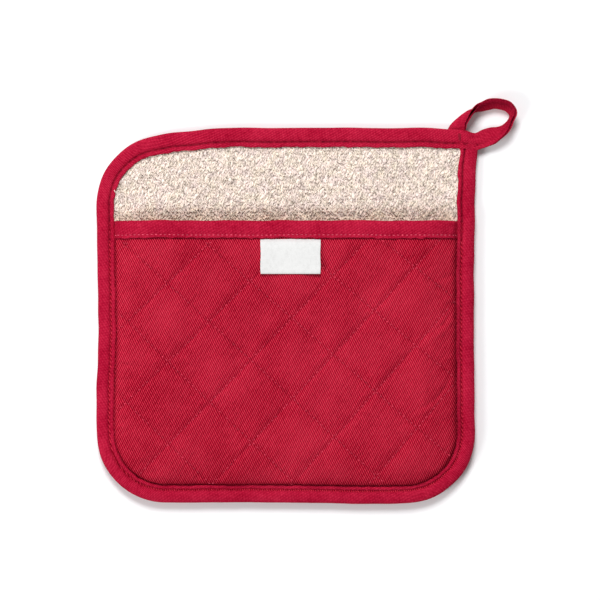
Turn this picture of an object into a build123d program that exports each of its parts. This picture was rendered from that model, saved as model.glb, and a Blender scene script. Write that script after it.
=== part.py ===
"""Quilted pocket mitt (a square pot holder with a hand pocket), lying on its back.

X runs across the mitt, Y from its foot to its head, +Z out of the pocket side.  The origin is the
middle of the quilted back, where it rests on a table.  Every ply of cloth and every run of thread is a
piece of its own.  From the table up:

    back_shell, back_batting, back_lining         the quilted back, its terry lining uppermost
    pocket_lining, pocket_batting, pocket_shell   the quilted pocket, arched so that a hand goes in
    edge_binding, pocket_hem_binding              folded tape over the raw edges
    loop_sewn_ends, hanging_loop                  the tail of the tape, bent round into a loop
    label                                         a plain folded label, caught under the hem
    back_quilting_thread, pocket_quilting_thread,
    binding_thread, hem_thread, loop_bartack      the seams that hold it all together

Neighbouring plies share a surface: a ply is what lies between two surfaces.
"""

import os
from dataclasses import dataclass, replace
from math import cos, radians, sin, sqrt

from build123d import *

# ---------------------------------------------------------------- driving sizes, in millimetres
pad_width = 216.0
pad_height = 215.0
foot_corner_radius = 39.0
head_corner_radius = 45.0  # the corner that the loop is not on
loop_corner_radius = 4.0  # the tape starts and ends at this nearly square corner

cloth = 0.6  # one ply of cotton twill
lining_cloth = 0.7
terry = 1.3  # terry cloth, loops included
back_fill = 4.9  # batting between seams
pocket_fill = 2.6
sewn_terry = 0.9  # the same plies where the binding grips them
sewn_back_fill = 1.1
sewn_pocket_fill = 0.8
pocket_gap = 5.7  # clear height for a hand, between the two linings

tape = 0.8  # folded binding tape
binding_width = 10.0
table_gap = 1.8  # height of the binding above the table
binding_ramp = 8.0  # length over which the binding steps down past the pocket
fold_bevel = 0.3  # the binding's fold is bevelled by this share of its height

pocket_depth = 161.6  # foot of the mitt to the pocket's mouth
hem_width = 10.0

seat = 0.2  # clearance of the padding's foot to the binding's lip
toe = 8.0  # width of the padding's steep first part
toe_rise = 0.6  # share of its height that the padding reaches there
shoulder = 24.0  # the padding is full this far in from the binding
contour_corner = 12.0  # least corner radius of the padding's contours
corner_chords = 5  # in each of those corners

quilt_pitch = 33.0  # between parallel quilting seams
pocket_quilt_depth = 1.3
pocket_quilt_width = 8.4
terry_quilt_depth = 1.0
terry_quilt_width = 7.0
shell_quilt_depth = 0.5
shell_quilt_width = 5.0
back_quilt_centre = (-19.8, 83.7)  # one crossing of the seams
pocket_quilt_centre = (-20.9, -25.7)

thread = 0.45
thread_relief = 0.25  # how far a seam stands proud of tape
seam_inset = 7.4  # from the mitt's edge to the binding's seam
hem_seam = 8.4  # from the mouth to the hem's seam

label_width = 34.0
label_length = 20.0
label_ply = 0.28
label_slit = 0.12  # between the label's two plies
label_fold = 0.5
label_offset = 2.6
flap_clearance = 0.3  # between a turning flap and the cloth under it

strap_width = 10.0
strap_thickness = 1.6  # four plies of tape, pressed
loop_span = 20.0  # the loop's course is laid out in shares of this
crease_inset = 1.08  # of the loop's crease, from the mitt's square corner, along its diagonal
crease_setback = 1.9  # of the free loop from its crease
tucked_height = 1.0  # of the strap's middle, where its end is tucked behind the mitt
bartack_length = 7.0
bartack_pitch = 1.2
bartack_rows = 4
bartack_inset = 10.3  # of its middle, from the mitt's edge on the loop's side

# ---------------------------------------------------------------- sizes that follow
half_width = pad_width / 2
half_height = pad_height / 2
mouth = pocket_depth - half_height
far = 3 * max(pad_width, pad_height)
shoulder_insets = (binding_width + seat, binding_width + toe, binding_width + shoulder)
rises = (0.0, toe_rise, 1.0)
back_thickness = cloth + back_fill + terry
sewn_low = table_gap + tape
sewn_terry_face = sewn_low + cloth + sewn_back_fill + sewn_terry
sewn_pocket_face = sewn_terry_face + lining_cloth + sewn_pocket_fill + cloth
head_top = sewn_terry_face + tape
pocket_top = sewn_pocket_face + tape
crease_height = (table_gap + head_top) / 2
crease_reach = (half_width + half_height) / sqrt(2) - crease_inset


@dataclass
class Quilting:
    """Seams in two families of parallel lines, through one crossing, and the channels they pull."""

    centre: tuple
    depth: float
    width: float


@dataclass
class Surface:
    """A face of a padded panel: its height under the binding and in the middle, and where it looks."""

    sewn: float
    crown: float
    up: int = 1
    quilting: Quilting = None

    def heights(self):
        """Its height at each of the shoulder's insets."""
        return [self.sewn + (self.crown - self.sewn) * rise for rise in rises]

    def raised(self, by):
        """The same surface, higher by a distance."""
        return replace(self, sewn=self.sewn + by, crown=self.crown + by)


shell_quilting = Quilting(back_quilt_centre, shell_quilt_depth, shell_quilt_width)
terry_quilting = Quilting(back_quilt_centre, terry_quilt_depth, terry_quilt_width)
pocket_quilting = Quilting(pocket_quilt_centre, pocket_quilt_depth, pocket_quilt_width)

back_face = Surface(sewn_low, 0.0, -1, shell_quilting)
back_inside = Surface(sewn_low + cloth, cloth, -1)
terry_base = Surface(sewn_terry_face - sewn_terry, back_thickness - terry)
terry_face = Surface(sewn_terry_face, back_thickness, 1, terry_quilting)
palm_face = Surface(sewn_terry_face, back_thickness + pocket_gap)
palm_back = palm_face.raised(lining_cloth)
pocket_inside = Surface(
    palm_back.sewn + sewn_pocket_fill, palm_back.crown + pocket_fill, 1, pocket_quilting
)
pocket_face = pocket_inside.raised(cloth)


# ---------------------------------------------------------------- outlines
pad_corners = (
    (1, 1, loop_corner_radius),
    (-1, 1, head_corner_radius),
    (-1, -1, foot_corner_radius),
    (1, -1, foot_corner_radius),
)
pocket_corners = ((1, 1, 0), (-1, 1, 0), (-1, -1, foot_corner_radius), (1, -1, foot_corner_radius))


def outline(corners, inset, z=0.0, least_radius=0.0):
    """A round-cornered outline, moved in by inset, as a face at height z.

    The pocket's has square corners at the head: it runs on past the mouth, where each ply is cut later.
    """
    across, along = half_width - inset, half_height - inset
    points = [(side * across, end * along) for side, end, radius in corners]
    radii = [max(radius - inset, least_radius) if radius else 0 for side, end, radius in corners]
    line = FilletPolyline(*points, radius=radii, close=True)
    return Pos(0, 0, z) * make_face(line)


def contour(corners, inset, z):
    """The padding's contour at height z: the outline moved in, with its round corners cut into chords."""
    points = []
    for quarter, (side, end, radius) in enumerate(corners):
        bend = max(radius - inset, contour_corner) if radius else 0
        centre = Vector(side * (half_width - inset - bend), end * (half_height - inset - bend), z)
        for k in range(corner_chords + 1 if bend else 1):
            turn = 90 * (quarter + k / corner_chords)
            points.append(centre + Vector(bend, 0, 0).rotate(Axis.Z, turn))
    return points


def flat_sided(rings, sides):
    """A solid through rings of points: its two end faces, and the sides that join each pair of rings."""
    outlines = [rings[0], rings[-1]]
    for near, further in zip(rings, rings[1:]):
        for k in range(len(near)):
            outlines += sides(near[k - 1], near[k], further[k], further[k - 1])
    return Solid(Shell([Face(Wire.make_polygon(points)) for points in outlines]))


def flat_quad(a, b, c, d):
    """One flat side."""
    return [(a, b, c, d)]


def folded_quad(a, b, c, d):
    """A twisted side, folded into two triangles."""
    return [(a, b, c), (a, c, d)]


def slab(corners, inset, low, high, least_radius=0.0):
    """A plate with an outline, between two heights."""
    return extrude(outline(corners, inset, low, least_radius), high - low)


def band(y_low, y_high):
    """A block that holds all of the mitt between two places along Y."""
    return Pos(0, (y_low + y_high) / 2, 0) * Box(far, y_high - y_low, far)


# ---------------------------------------------------------------- quilted panels
def quilt_lines(centre):
    """The quilting seams in plan: each line's turn about Z, and the line."""
    reach = pad_width + pad_height
    count = int(reach / quilt_pitch)
    for turn in (45, -45):
        for k in range(-count, count + 1):
            place = Pos(*centre, 0) * Rot(0, 0, turn) * Pos(0, k * quilt_pitch, 0)
            yield turn, place * Edge.make_line((-reach, 0, 0), (reach, 0, 0))


def heap(corners, inset, back, surface):
    """All that lies between a height at the back and a padded surface, before its quilting."""
    contours = [contour(corners, i, z) for i, z in zip(shoulder_insets, surface.heights())]
    crown = flat_sided(contours, flat_quad)
    if back == surface.sewn:
        return crown
    return crown + slab(corners, inset, *sorted((back, surface.sewn)))


def seam_paths(corners, surface):
    """Each seam's turn about Z and its points on a surface, with how far the padding has risen there."""
    padding = heap(corners, 0, surface.sewn - surface.up, surface)
    height = surface.crown - surface.sewn
    for turn, line in quilt_lines(surface.quilting.centre):
        upright = Plane(line @ 0.5, x_dir=line % 0, z_dir=(line % 0).rotate(Axis.Z, 90))
        cut = section(padding, section_by=upright)
        points = {}
        for edge in cut.edges() if cut else []:
            stops = (0, 1) if edge.geom_type == GeomType.LINE else (0, 0.5, 1)
            if max((edge @ stop).Z * surface.up for stop in stops) > surface.sewn * surface.up:
                points.update({round((edge @ stop).X, 2): edge @ stop for stop in stops})
        if points:
            path = [points[x] for x in sorted(points)]
            yield turn, [(point, (point.Z - surface.sewn) / height) for point in path]


def seam_solids(corners, surface, profile):
    """One flat-sided solid along each seam, with the profile corners that are given for each rise."""
    solids = []
    for turn, path in seam_paths(corners, surface):
        along = Vector(1, 0, 0).rotate(Axis.Z, turn)
        side = Vector(0, 1, 0).rotate(Axis.Z, turn)
        rings = []
        for point, rise in path:
            place = Plane(point, x_dir=side, z_dir=along)
            rings.append([place.from_local_coords(corner) for corner in profile(rise)])
        solids.append(flat_sided(rings, flat_quad))
    return solids


def channel_depth(surface, rise):
    """How deep a seam lies: not at all up to the toe, where the binding pulls the padding flat."""
    return surface.quilting.depth * max(0, rise - toe_rise) / (1 - toe_rise) * surface.up


def channels(corners, surface):
    """The V-shaped cutters of a surface's quilting."""
    height = surface.quilting.depth * surface.up
    slope = surface.quilting.width / 2 / surface.quilting.depth

    def profile(rise):
        bottom = -channel_depth(surface, rise)
        half = abs(height - bottom) * slope
        return (0, bottom), (half, height), (-half, height)

    return seam_solids(corners, surface, profile)


def quilting_thread(corners, surface):
    """The thread that shows on one face of a quilted panel, in the bottom of its channels."""

    def profile(rise):
        bottom = -channel_depth(surface, rise)
        top = bottom + thread * surface.up
        return (0, bottom), (thread / 2, top), (-thread / 2, top)

    first, *others = seam_solids(corners, surface, profile)
    return first + others


def quilted(corners, inset, back, surface):
    """A heap with its surface's quilting cut in, if it has any."""
    padding = heap(corners, inset, back, surface)
    return padding - channels(corners, surface) if surface.quilting else padding


def ply(corners, inside, outside):
    """The ply between two surfaces that look the same way.  The inner one's cutter stands out all round."""
    below = inside.sewn - binding_width * inside.up
    return quilted(corners, tape, inside.sewn, outside) - quilted(corners, -binding_width, below, inside)


def pocket_ply(inside, outside):
    """A ply of the pocket, cut at the mouth to make room for the hem's fold."""
    return ply(pocket_corners, inside, outside) & band(-far, mouth - tape)


# ---------------------------------------------------------------- binding
def stepped_plate(inset, low, pocket_high, head_high, bevel=0.0):
    """A plate with the mitt's outline, high along the pocket, low along the head, ramped between."""
    parts = []
    for high, y_low, y_high in (
        (pocket_high, -far, mouth),
        (head_high, mouth + binding_ramp, far),
    ):
        plate = slab(pad_corners, inset, low, high)
        if bevel:
            rims = plate.edges().filter_by(Axis.Z, reverse=True)
            plate = chamfer(rims, bevel * (high - low))
        parts.append(plate & band(y_low, y_high))
    near = parts[0].faces().sort_by(Axis.Y)[-1]
    across = parts[1].faces().sort_by(Axis.Y)[0]
    return parts[0] + loft([near, across], ruled=True) + parts[1]


def binding_block():
    """The edge binding's outer shape, filled right across the mitt."""
    return stepped_plate(0, table_gap, pocket_top, head_top, fold_bevel)


def make_edge_binding():
    """The folded tape round the mitt: a channel whose two lips grip the plies."""
    inside = stepped_plate(tape, sewn_low, sewn_pocket_face, sewn_terry_face)
    window = slab(pad_corners, binding_width, -far, far, 1.5)
    return binding_block() - inside - window


def make_binding_thread():
    """The binding's seam, as it shows on both lips."""
    ring = slab(pad_corners, seam_inset, -far, far, 2.0)
    ring -= slab(pad_corners, seam_inset + thread, -far, far, 1.5)
    proud = stepped_plate(
        tape, table_gap - thread_relief, pocket_top + thread_relief, head_top + thread_relief
    )
    return (proud & ring) - stepped_plate(0, table_gap, pocket_top, head_top)


def between(low, high):
    """All of the pocket's width and height between two of its surfaces, with no quilting."""
    return heap(pocket_corners, -tape, 0, high) - heap(pocket_corners, -2 * tape, -tape, low)


def make_pocket_hem_binding():
    """The straight folded tape along the pocket's mouth, between the lips of the edge binding."""
    outside = between(palm_face.raised(-tape), pocket_face.raised(tape))
    outside &= Pos(0, mouth - hem_width / 2, 0) * Box(pad_width - 2 * binding_width, hem_width, far)
    inside = between(palm_face, pocket_face) & band(-far, mouth - tape)
    return outside - inside - heap(pad_corners, -tape, 0, terry_face)


def make_hem_thread():
    """The hem's seam, as it shows on the front."""
    hem_face = pocket_face.raised(tape)
    run = between(hem_face, hem_face.raised(thread_relief))
    return run & Pos(0, mouth - hem_seam, 0) * Box(pad_width - 2 * binding_width, thread, far)


# ---------------------------------------------------------------- loop
def strap_corners(middle, heading, roll):
    """The strap's four corners at a station.  Roll lifts its outer edge, past upright till it lies flat."""
    left = Vector(-sin(radians(heading)), cos(radians(heading)), 0)
    up = Vector(0, 0, 1)
    across = (left * cos(radians(roll)) - up * sin(radians(roll))) * (strap_width / 2)
    through = (up * cos(radians(roll)) + left * sin(radians(roll))) * (strap_thickness / 2)
    top = [middle + across + through, middle - across + through]
    return top + [middle - across - through, middle + across - through]


def strap_stations():
    """The strap from the end that runs on from the head's binding to the end tucked behind it."""
    tucked = (tucked_height - crease_height) / loop_span
    course = [
        (-0.30, -0.325, 0, 0, 0),
        (0.05, -0.325, 0, 2, 0),
        (0.325, -0.29, 0, 12, 0),
        (0.55, -0.215, 0.01, 24, 22),
        (0.80, -0.065, 0.03, 40, 45),
        (1.015, 0.165, 0.065, 62, 68),
        (1.07, 0.405, 0.075, 96, 75),
        (0.965, 0.615, 0.07, 138, 72),
        (0.75, 0.695, 0.065, 172, 70),
        (0.475, 0.675, 0.065, 190, 76),
        (0.18, 0.59, 0.07, 202, 96),
        (-0.04, 0.48, 0.05, 212, 128),
        (-0.21, 0.35, 0.01, 222, 165),
        (-0.30, 0.26, 0, 228, 180),
        (-0.42, 0.08, -0.055, 240, 180),
        (-0.50, -0.11, tucked, 250, 180),
        (-0.57, -0.45, tucked, 262, 180),
    ]
    corner = Vector(half_width, half_height, crease_height)
    return [(corner + loop_span * Vector(x, y, z), heading, roll) for x, y, z, heading, roll in course]


def past_crease(distance):
    """All that is further along the loop corner's diagonal than the crease, plus a distance."""
    return Rot(0, 0, 45) * Pos(crease_reach + distance + far / 2, 0, 0) * Box(far, far, far)


def make_loop(seam):
    """The loop's sewn ends, which stop at the binding and its seam, and the free loop past its crease."""
    strap = flat_sided([strap_corners(*station) for station in strap_stations()], folded_quad)
    sewn_ends = strap - past_crease(0) - binding_block() - seam
    return sewn_ends, strap & past_crease(crease_setback)


def make_loop_bartack():
    """The close stitches that hold the tucked end, as they show on the head's binding."""
    middle = Pos(half_width - bartack_inset, half_height - seam_inset / 2, head_top + thread_relief / 2)
    rows = GridLocations(1, bartack_pitch, 1, bartack_rows)
    return Compound([middle * row * Box(bartack_length, thread, thread_relief) for row in rows])


# ---------------------------------------------------------------- label
def make_label():
    """A folded label: two plies with a slit between them, closed at the fold."""
    thickness = 2 * label_ply + label_slit
    top = mouth - hem_width - flap_clearance
    low = pocket_face.crown + flap_clearance
    middle = Pos(label_offset, top - label_length / 2, low + thickness / 2)
    slit = Pos(0, label_fold, 0) * Box(label_width, label_length, label_slit)
    return middle * (Box(label_width, label_length, thickness) - slit)


def main():
    """Builds every node and writes each to a STEP file of its own."""
    lower_fill = heap(pad_corners, tape, terry_base.sewn, back_inside)
    binding_thread = make_binding_thread()
    loop_sewn_ends, hanging_loop = make_loop(binding_thread)
    nodes = {
        "back_shell": ply(pad_corners, back_inside, back_face),
        "back_batting": lower_fill + heap(pad_corners, tape, terry_base.sewn, terry_base),
        "back_lining": ply(pad_corners, terry_base, terry_face),
        "pocket_lining": pocket_ply(palm_face, palm_back),
        "pocket_batting": pocket_ply(palm_back, pocket_inside),
        "pocket_shell": pocket_ply(pocket_inside, pocket_face),
        "edge_binding": make_edge_binding(),
        "pocket_hem_binding": make_pocket_hem_binding(),
        "loop_sewn_ends": loop_sewn_ends,
        "hanging_loop": hanging_loop,
        "label": make_label(),
        "back_quilting_thread": quilting_thread(pad_corners, back_face),
        "pocket_quilting_thread": quilting_thread(pocket_corners, pocket_face)
        & band(-far, mouth - hem_width),
        "binding_thread": binding_thread,
        "hem_thread": make_hem_thread(),
        "loop_bartack": make_loop_bartack(),
    }
    os.makedirs("parts", exist_ok=True)
    for name, node in nodes.items():
        export_step(node, f"parts/{name}.step")


main()
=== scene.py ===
"""Dresses the quilted pocket mitt: cloth, terry, bound edges, stitching, label and hanging loop.

Lengths are in millimetres until a mesh is written, which is in metres.
"""
import logging
import math
from collections.abc import Callable
from dataclasses import dataclass, field
from enum import Enum

import bmesh
import bpy
import numpy as np
from mathutils import Matrix, Vector


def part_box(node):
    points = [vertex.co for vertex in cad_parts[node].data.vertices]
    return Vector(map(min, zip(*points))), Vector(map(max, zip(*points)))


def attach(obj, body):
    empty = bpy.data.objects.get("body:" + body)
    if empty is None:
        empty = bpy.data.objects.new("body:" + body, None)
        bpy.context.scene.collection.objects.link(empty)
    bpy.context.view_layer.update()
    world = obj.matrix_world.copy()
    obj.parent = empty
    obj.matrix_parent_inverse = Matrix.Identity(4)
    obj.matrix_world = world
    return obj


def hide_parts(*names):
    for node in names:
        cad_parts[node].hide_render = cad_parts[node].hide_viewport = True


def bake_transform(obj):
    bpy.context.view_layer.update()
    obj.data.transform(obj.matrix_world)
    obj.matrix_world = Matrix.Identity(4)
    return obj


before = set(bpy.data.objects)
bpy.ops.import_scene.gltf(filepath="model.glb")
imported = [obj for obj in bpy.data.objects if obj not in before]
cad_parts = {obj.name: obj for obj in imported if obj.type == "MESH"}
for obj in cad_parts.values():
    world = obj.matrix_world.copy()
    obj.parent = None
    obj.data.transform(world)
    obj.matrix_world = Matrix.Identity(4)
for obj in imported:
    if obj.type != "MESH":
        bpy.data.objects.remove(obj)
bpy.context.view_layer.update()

MM = 0.001
GRIP = 10.6  # how far in the binding holds the panels down
LIP = 10.75  # how far in the cloth comes out of the binding
SECTION = 10.0  # the folded tape's section is drawn this wide
HEADING, ROLL, WIDTH, HALF, CUP = range(3, 8)  # columns of a track's rows, after X, Y and Z

log = logging.getLogger("pocket_mitt")
Array = np.ndarray
Shape = bmesh.types.BMesh
Mesh = bpy.types.Mesh
Object = bpy.types.Object
Material = bpy.types.Material
Socket = bpy.types.NodeSocket
Input = Socket | float | tuple


# ------------------------------------------------------------------ small tools
def box_mm(node: str) -> tuple[Array, Array]:
    """The lowest and highest corner of a CAD node, in millimetres."""
    low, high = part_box(node)
    return np.array(low) / MM, np.array(high) / MM


def hump(values: Array, centre: float, width: float) -> Array:
    """A smooth hump of height 1 at a place."""
    return np.exp(-(((values - centre) / width) ** 2))


def smoothstep(low: float, high: float, values: Array) -> Array:
    """0 below low, 1 above high, and smooth between."""
    share = np.clip((values - low) / (high - low), 0, 1)
    return share * share * (3 - 2 * share)


def read_points(mesh: Mesh) -> Array:
    """A mesh's points, in millimetres.

    Args:
        mesh: the mesh.

    Returns:
        One row of X, Y and Z for each point.
    """
    points = np.empty(len(mesh.vertices) * 3)
    mesh.vertices.foreach_get("co", points)
    return points.reshape(-1, 3) / MM


def write_points(mesh: Mesh, points: Array) -> None:
    """Sets a mesh's points, given in millimetres."""
    mesh.vertices.foreach_set("co", (points * MM).astype(np.float32).ravel())
    mesh.update()


def read_values(mesh: Mesh, name: str) -> Array:
    """A point attribute's values.

    Args:
        mesh: the mesh.
        name: the attribute's name.

    Returns:
        One value for each point.
    """
    values = np.empty(len(mesh.vertices), np.float32)
    mesh.attributes[name].data.foreach_get("value", values)
    return values


def write_values(mesh: Mesh, name: str, values: Array) -> None:
    """Sets a point attribute, and makes it where there is none."""
    attribute = mesh.attributes.get(name) or mesh.attributes.new(name, "FLOAT", "POINT")
    attribute.data.foreach_set("value", values.astype(np.float32))


def piece(name: str, mesh: Mesh, material: Material) -> Object:
    """A named, smooth-shaded object at the origin, with one material.

    Args:
        name: the piece's name.
        mesh: its mesh, in metres.
        material: its finish.

    Returns:
        The linked object.
    """
    mesh.name = name
    mesh.materials.clear()
    mesh.materials.append(material)
    mesh.polygons.foreach_set("use_smooth", np.ones(len(mesh.polygons), bool))
    made = bpy.data.objects.new(name, mesh)
    bpy.context.scene.collection.objects.link(made)
    return made


def evaluated_mesh(made: Object) -> Mesh:
    """A copy of an object's mesh with its modifiers in it."""
    graph = bpy.context.evaluated_depsgraph_get()
    return bpy.data.meshes.new_from_object(made.evaluated_get(graph), depsgraph=graph)


def drop(made: Object) -> None:
    """Removes a helper object."""
    bpy.data.objects.remove(made, do_unlink=True)


def meshed(shape: Shape, name: str) -> Mesh:
    """Turns a shape into a mesh, and frees the shape.

    Args:
        shape: the shape.
        name: the mesh's name.

    Returns:
        The mesh.
    """
    mesh = bpy.data.meshes.new(name)
    shape.to_mesh(mesh)
    shape.free()
    return mesh


def walled(mesh: Mesh, thickness: float, soft: float = 0.0) -> Mesh:
    """Gives a sheet its thickness, half to each side.

    Args:
        mesh: the sheet.
        thickness: its thickness, in millimetres.
        soft: how wide its edges are rounded; 0 for not at all.

    Returns:
        The closed mesh.
    """
    helper = bpy.data.objects.new("helper", mesh)
    bpy.context.scene.collection.objects.link(helper)
    wall = helper.modifiers.new("Ply", "SOLIDIFY")
    wall.thickness, wall.offset = thickness * MM, 0
    if soft:
        bevel = helper.modifiers.new("Soft", "BEVEL")
        bevel.width, bevel.segments, bevel.limit_method = soft * MM, 2, "ANGLE"
    made = evaluated_mesh(helper)
    drop(helper)
    return made


def shape_sheet(sheet: Shape, points: Array, u: Array, v: Array, name: str) -> Mesh:
    """Bends a grid into a cloth and notes where each point lies on the flat cloth.

    Args:
        sheet: the grid, which is freed.
        points: where its points go, in millimetres.
        u: each point's way across the flat cloth.
        v: each point's way along it.
        name: the mesh's name.

    Returns:
        The mesh, with the UV map "Tape" in metres.
    """
    for vert, point in zip(sheet.verts, points):
        vert.co = Vector(point) * MM
    sheet.verts.index_update()
    flat = sheet.loops.layers.uv.new(Source.TAPE.value)
    for face in sheet.faces:
        for loop in face.loops:
            loop[flat].uv = (u[loop.vert.index] * MM, v[loop.vert.index] * MM)
    return meshed(sheet, name)


class Ripples:
    """Soft, uneven waves over a plane, the same on every run."""

    def __init__(self, seed: int, shortest: float, longest: float, waves: int = 9) -> None:
        """Draws the waves.

        Args:
            seed: the draw's seed.
            shortest: least wavelength, in millimetres.
            longest: greatest wavelength.
            waves: how many waves are added up.
        """
        draw = np.random.default_rng(seed)
        turn = draw.uniform(0, 2 * np.pi, waves)
        rate = 2 * np.pi / np.exp(draw.uniform(np.log(shortest), np.log(longest), waves))
        self.rates = np.stack([rate * np.cos(turn), rate * np.sin(turn)])
        self.phases = draw.uniform(0, 2 * np.pi, waves)

    def __call__(self, x: Array, y: Array) -> Array:
        """The waves' height, mostly from -1 to 1."""
        angle = np.multiply.outer(x, self.rates[0]) + np.multiply.outer(y, self.rates[1]) + self.phases
        return np.sin(angle).sum(-1) / math.sqrt(len(self.phases))


# ------------------------------------------------------------------ plan and levels
@dataclass(frozen=True)
class Plan:
    """The mitt's plan: where its edge runs, and how the sewing pulled it off true."""

    half_x: float
    half_y: float
    foot_radius: float = 39.0
    head_radius: float = 45.0
    loop_radius: float = 4.0

    def inset(self, x: Array, y: Array) -> Array:
        """How far places lie in from the true edge.

        Args:
            x: the places' X.
            y: their Y.

        Returns:
            One distance for each place, negative outside.
        """
        radius = np.where(y < 0, self.foot_radius, np.where(x < 0, self.head_radius, self.loop_radius))
        past_x = np.abs(x) - (self.half_x - radius)
        past_y = np.abs(y) - (self.half_y - radius)
        outside = np.hypot(np.maximum(past_x, 0), np.maximum(past_y, 0))
        return radius - outside - np.minimum(np.maximum(past_x, past_y), 0)

    def slope(self, x: Array, y: Array, step: float = 0.01) -> tuple[Array, Array]:
        """How fast the inset grows along X and along Y."""
        return ((self.inset(x + step, y) - self.inset(x - step, y)) / (2 * step),
                (self.inset(x, y + step) - self.inset(x, y - step)) / (2 * step))

    def drift(self, x: Array, y: Array) -> tuple[Array, Array]:
        """How far the sewing moved places off true.

        Args:
            x: the places' X.
            y: their Y.

        Returns:
            The moves along X and along Y.
        """
        left = -0.6 * hump(y, 65, 20) - 0.6 * hump(y, -54, 22) + 0.6 * hump(y, -8, 26)
        right = 1.7 * hump(y, 96, 11) + 0.5 * hump(y, 76, 13) - 0.5 * hump(y, 4, 44)
        foot = 0.5 - 0.8 * hump(x, 48, 30)
        head = 0.28 * np.sin((x - 22) / 7.5) * hump(x, 48, 26)
        head = head - 3.0 * hump(x, -70, 21) - 0.9 * hump(x, 94, 10)
        move_x = left * smoothstep(30, 96, -x) + right * smoothstep(30, 96, x)
        move_y = foot * smoothstep(30, 96, -y) + head * smoothstep(70, 100, y)
        return move_x, move_y

    def settle(self, points: Array) -> Array:
        """Points in the plan's true shape, moved to where the sewing left them."""
        move_x, move_y = self.drift(points[:, 0], points[:, 1])
        return points + np.stack([move_x, move_y, np.zeros(len(points))], 1)


@dataclass(frozen=True)
class Level:
    """One face of a padded panel: its height where it is sewn and in the middle."""

    sewn: float
    middle: float
    swell: float = 0.0

    def height(self, inset: Array) -> Array:
        """The face's height, by how far in a place lies."""
        rise = 1 - (1 - np.clip((inset - 10.3) / 23.8, 0, 1)) ** 2.1
        return self.sewn + (self.middle - self.sewn) * rise

    def swollen(self, inset: Array) -> Array:
        """How far the face stands above that, where it swells up right beside the binding."""
        past = np.clip(inset - LIP, 0, 23)
        return self.swell * (1 - np.exp(-past / 0.75)) * (1 - past / 23) ** 2


class Levels:
    """The faces of every ply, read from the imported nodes."""

    def __init__(self) -> None:
        """Reads the nodes' boxes."""
        low = {name: box_mm(name)[0][2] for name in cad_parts}
        high = {name: box_mm(name)[1][2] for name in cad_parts}
        self.binding_low = low["edge_binding"]
        self.pocket_top = high["edge_binding"]
        self.head_top = low["loop_bartack"]
        self.tape = self.pocket_top - (low["pocket_shell"] + 0.6)
        self.back_face = Level(self.binding_low + self.tape, 0.0)
        self.terry_face = Level(low["pocket_lining"], high["back_lining"])
        palm = high["pocket_lining"] - (low["pocket_batting"] - low["pocket_lining"])
        self.palm_face = Level(low["pocket_lining"], palm)
        self.pocket_face = Level(self.pocket_top - self.tape, high["pocket_shell"], 3.0)


@dataclass(frozen=True)
class Lattice:
    """Two families of quilting seams, at whole numbers of a skewed pair of coordinates."""

    centre: tuple[float, float]
    down: tuple[float, float]
    up: tuple[float, float]
    skew: float = 0.0
    reach: int = 7

    @property
    def side(self) -> float:
        """The length of one diamond's side."""
        return math.hypot(*self.down)

    def place(self, a: Array, b: Array) -> tuple[Array, Array]:
        """Where lattice coordinates lie in the plan.

        Args:
            a: the coordinates across the first family of seams.
            b: those across the second.

        Returns:
            The places' X and Y.
        """
        x = self.centre[0] + self.down[0] * a + self.up[0] * b
        y = self.centre[1] + self.down[1] * a + self.up[1] * b + self.skew * a * b
        return x, y

    def cell(self, x: Array, y: Array) -> tuple[Array, Array]:
        """The lattice coordinates of places in the plan.

        Args:
            x: the places' X.
            y: their Y.

        Returns:
            The coordinates, whole on each family's seams.
        """
        matrix = np.linalg.inv(np.array([self.down, self.up]).T)
        a, b = np.zeros_like(x), np.zeros_like(x)
        for _ in range(6):
            u, v = x - self.centre[0], y - self.centre[1] - self.skew * a * b
            a, b = matrix[0, 0] * u + matrix[0, 1] * v, matrix[1, 0] * u + matrix[1, 1] * v
        return a, b

    def seams(self, x: Array, y: Array) -> list[tuple[Array, Array, Array]]:
        """The seams nearest to places.

        Args:
            x: the places' X.
            y: their Y.

        Returns:
            For each family of seams: distance to the nearest, its number, and the way along it.
        """
        a, b = self.cell(x, y)
        return [
            (np.abs(one - np.round(one)) * self.side, np.round(one), other * self.side)
            for one, other in ((a, b), (b, a))
        ]

    def nearest(self, x: Array, y: Array) -> Array:
        """The distance to the nearest seam."""
        return np.minimum(*[away for away, _, _ in self.seams(x, y)])

    def dip(self, x: Array, y: Array, depths: tuple[float, float]) -> Array:
        """How deep the cloth lies, by the depth of each family of seams."""
        a, b = self.cell(x, y)
        return sum(depth * (1 - np.abs(np.sin(np.pi * one)) ** 0.55) for depth, one in zip(depths, (a, b)))

    def pillow(self, x: Array, y: Array, power: float = 0.55) -> Array:
        """0 on a seam, 1 in the middle of a diamond."""
        a, b = self.cell(x, y)
        return (np.abs(np.sin(np.pi * a)) * np.abs(np.sin(np.pi * b))) ** power


# ------------------------------------------------------------------ finishes
class Source(Enum):
    """What a woven pattern follows."""

    PLACE = "Object"
    TAPE = "Tape"


class Weave(Enum):
    """How a cloth is woven."""

    TWILL = "twill"
    PLAIN = "plain"
    SATIN = "satin"


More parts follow.
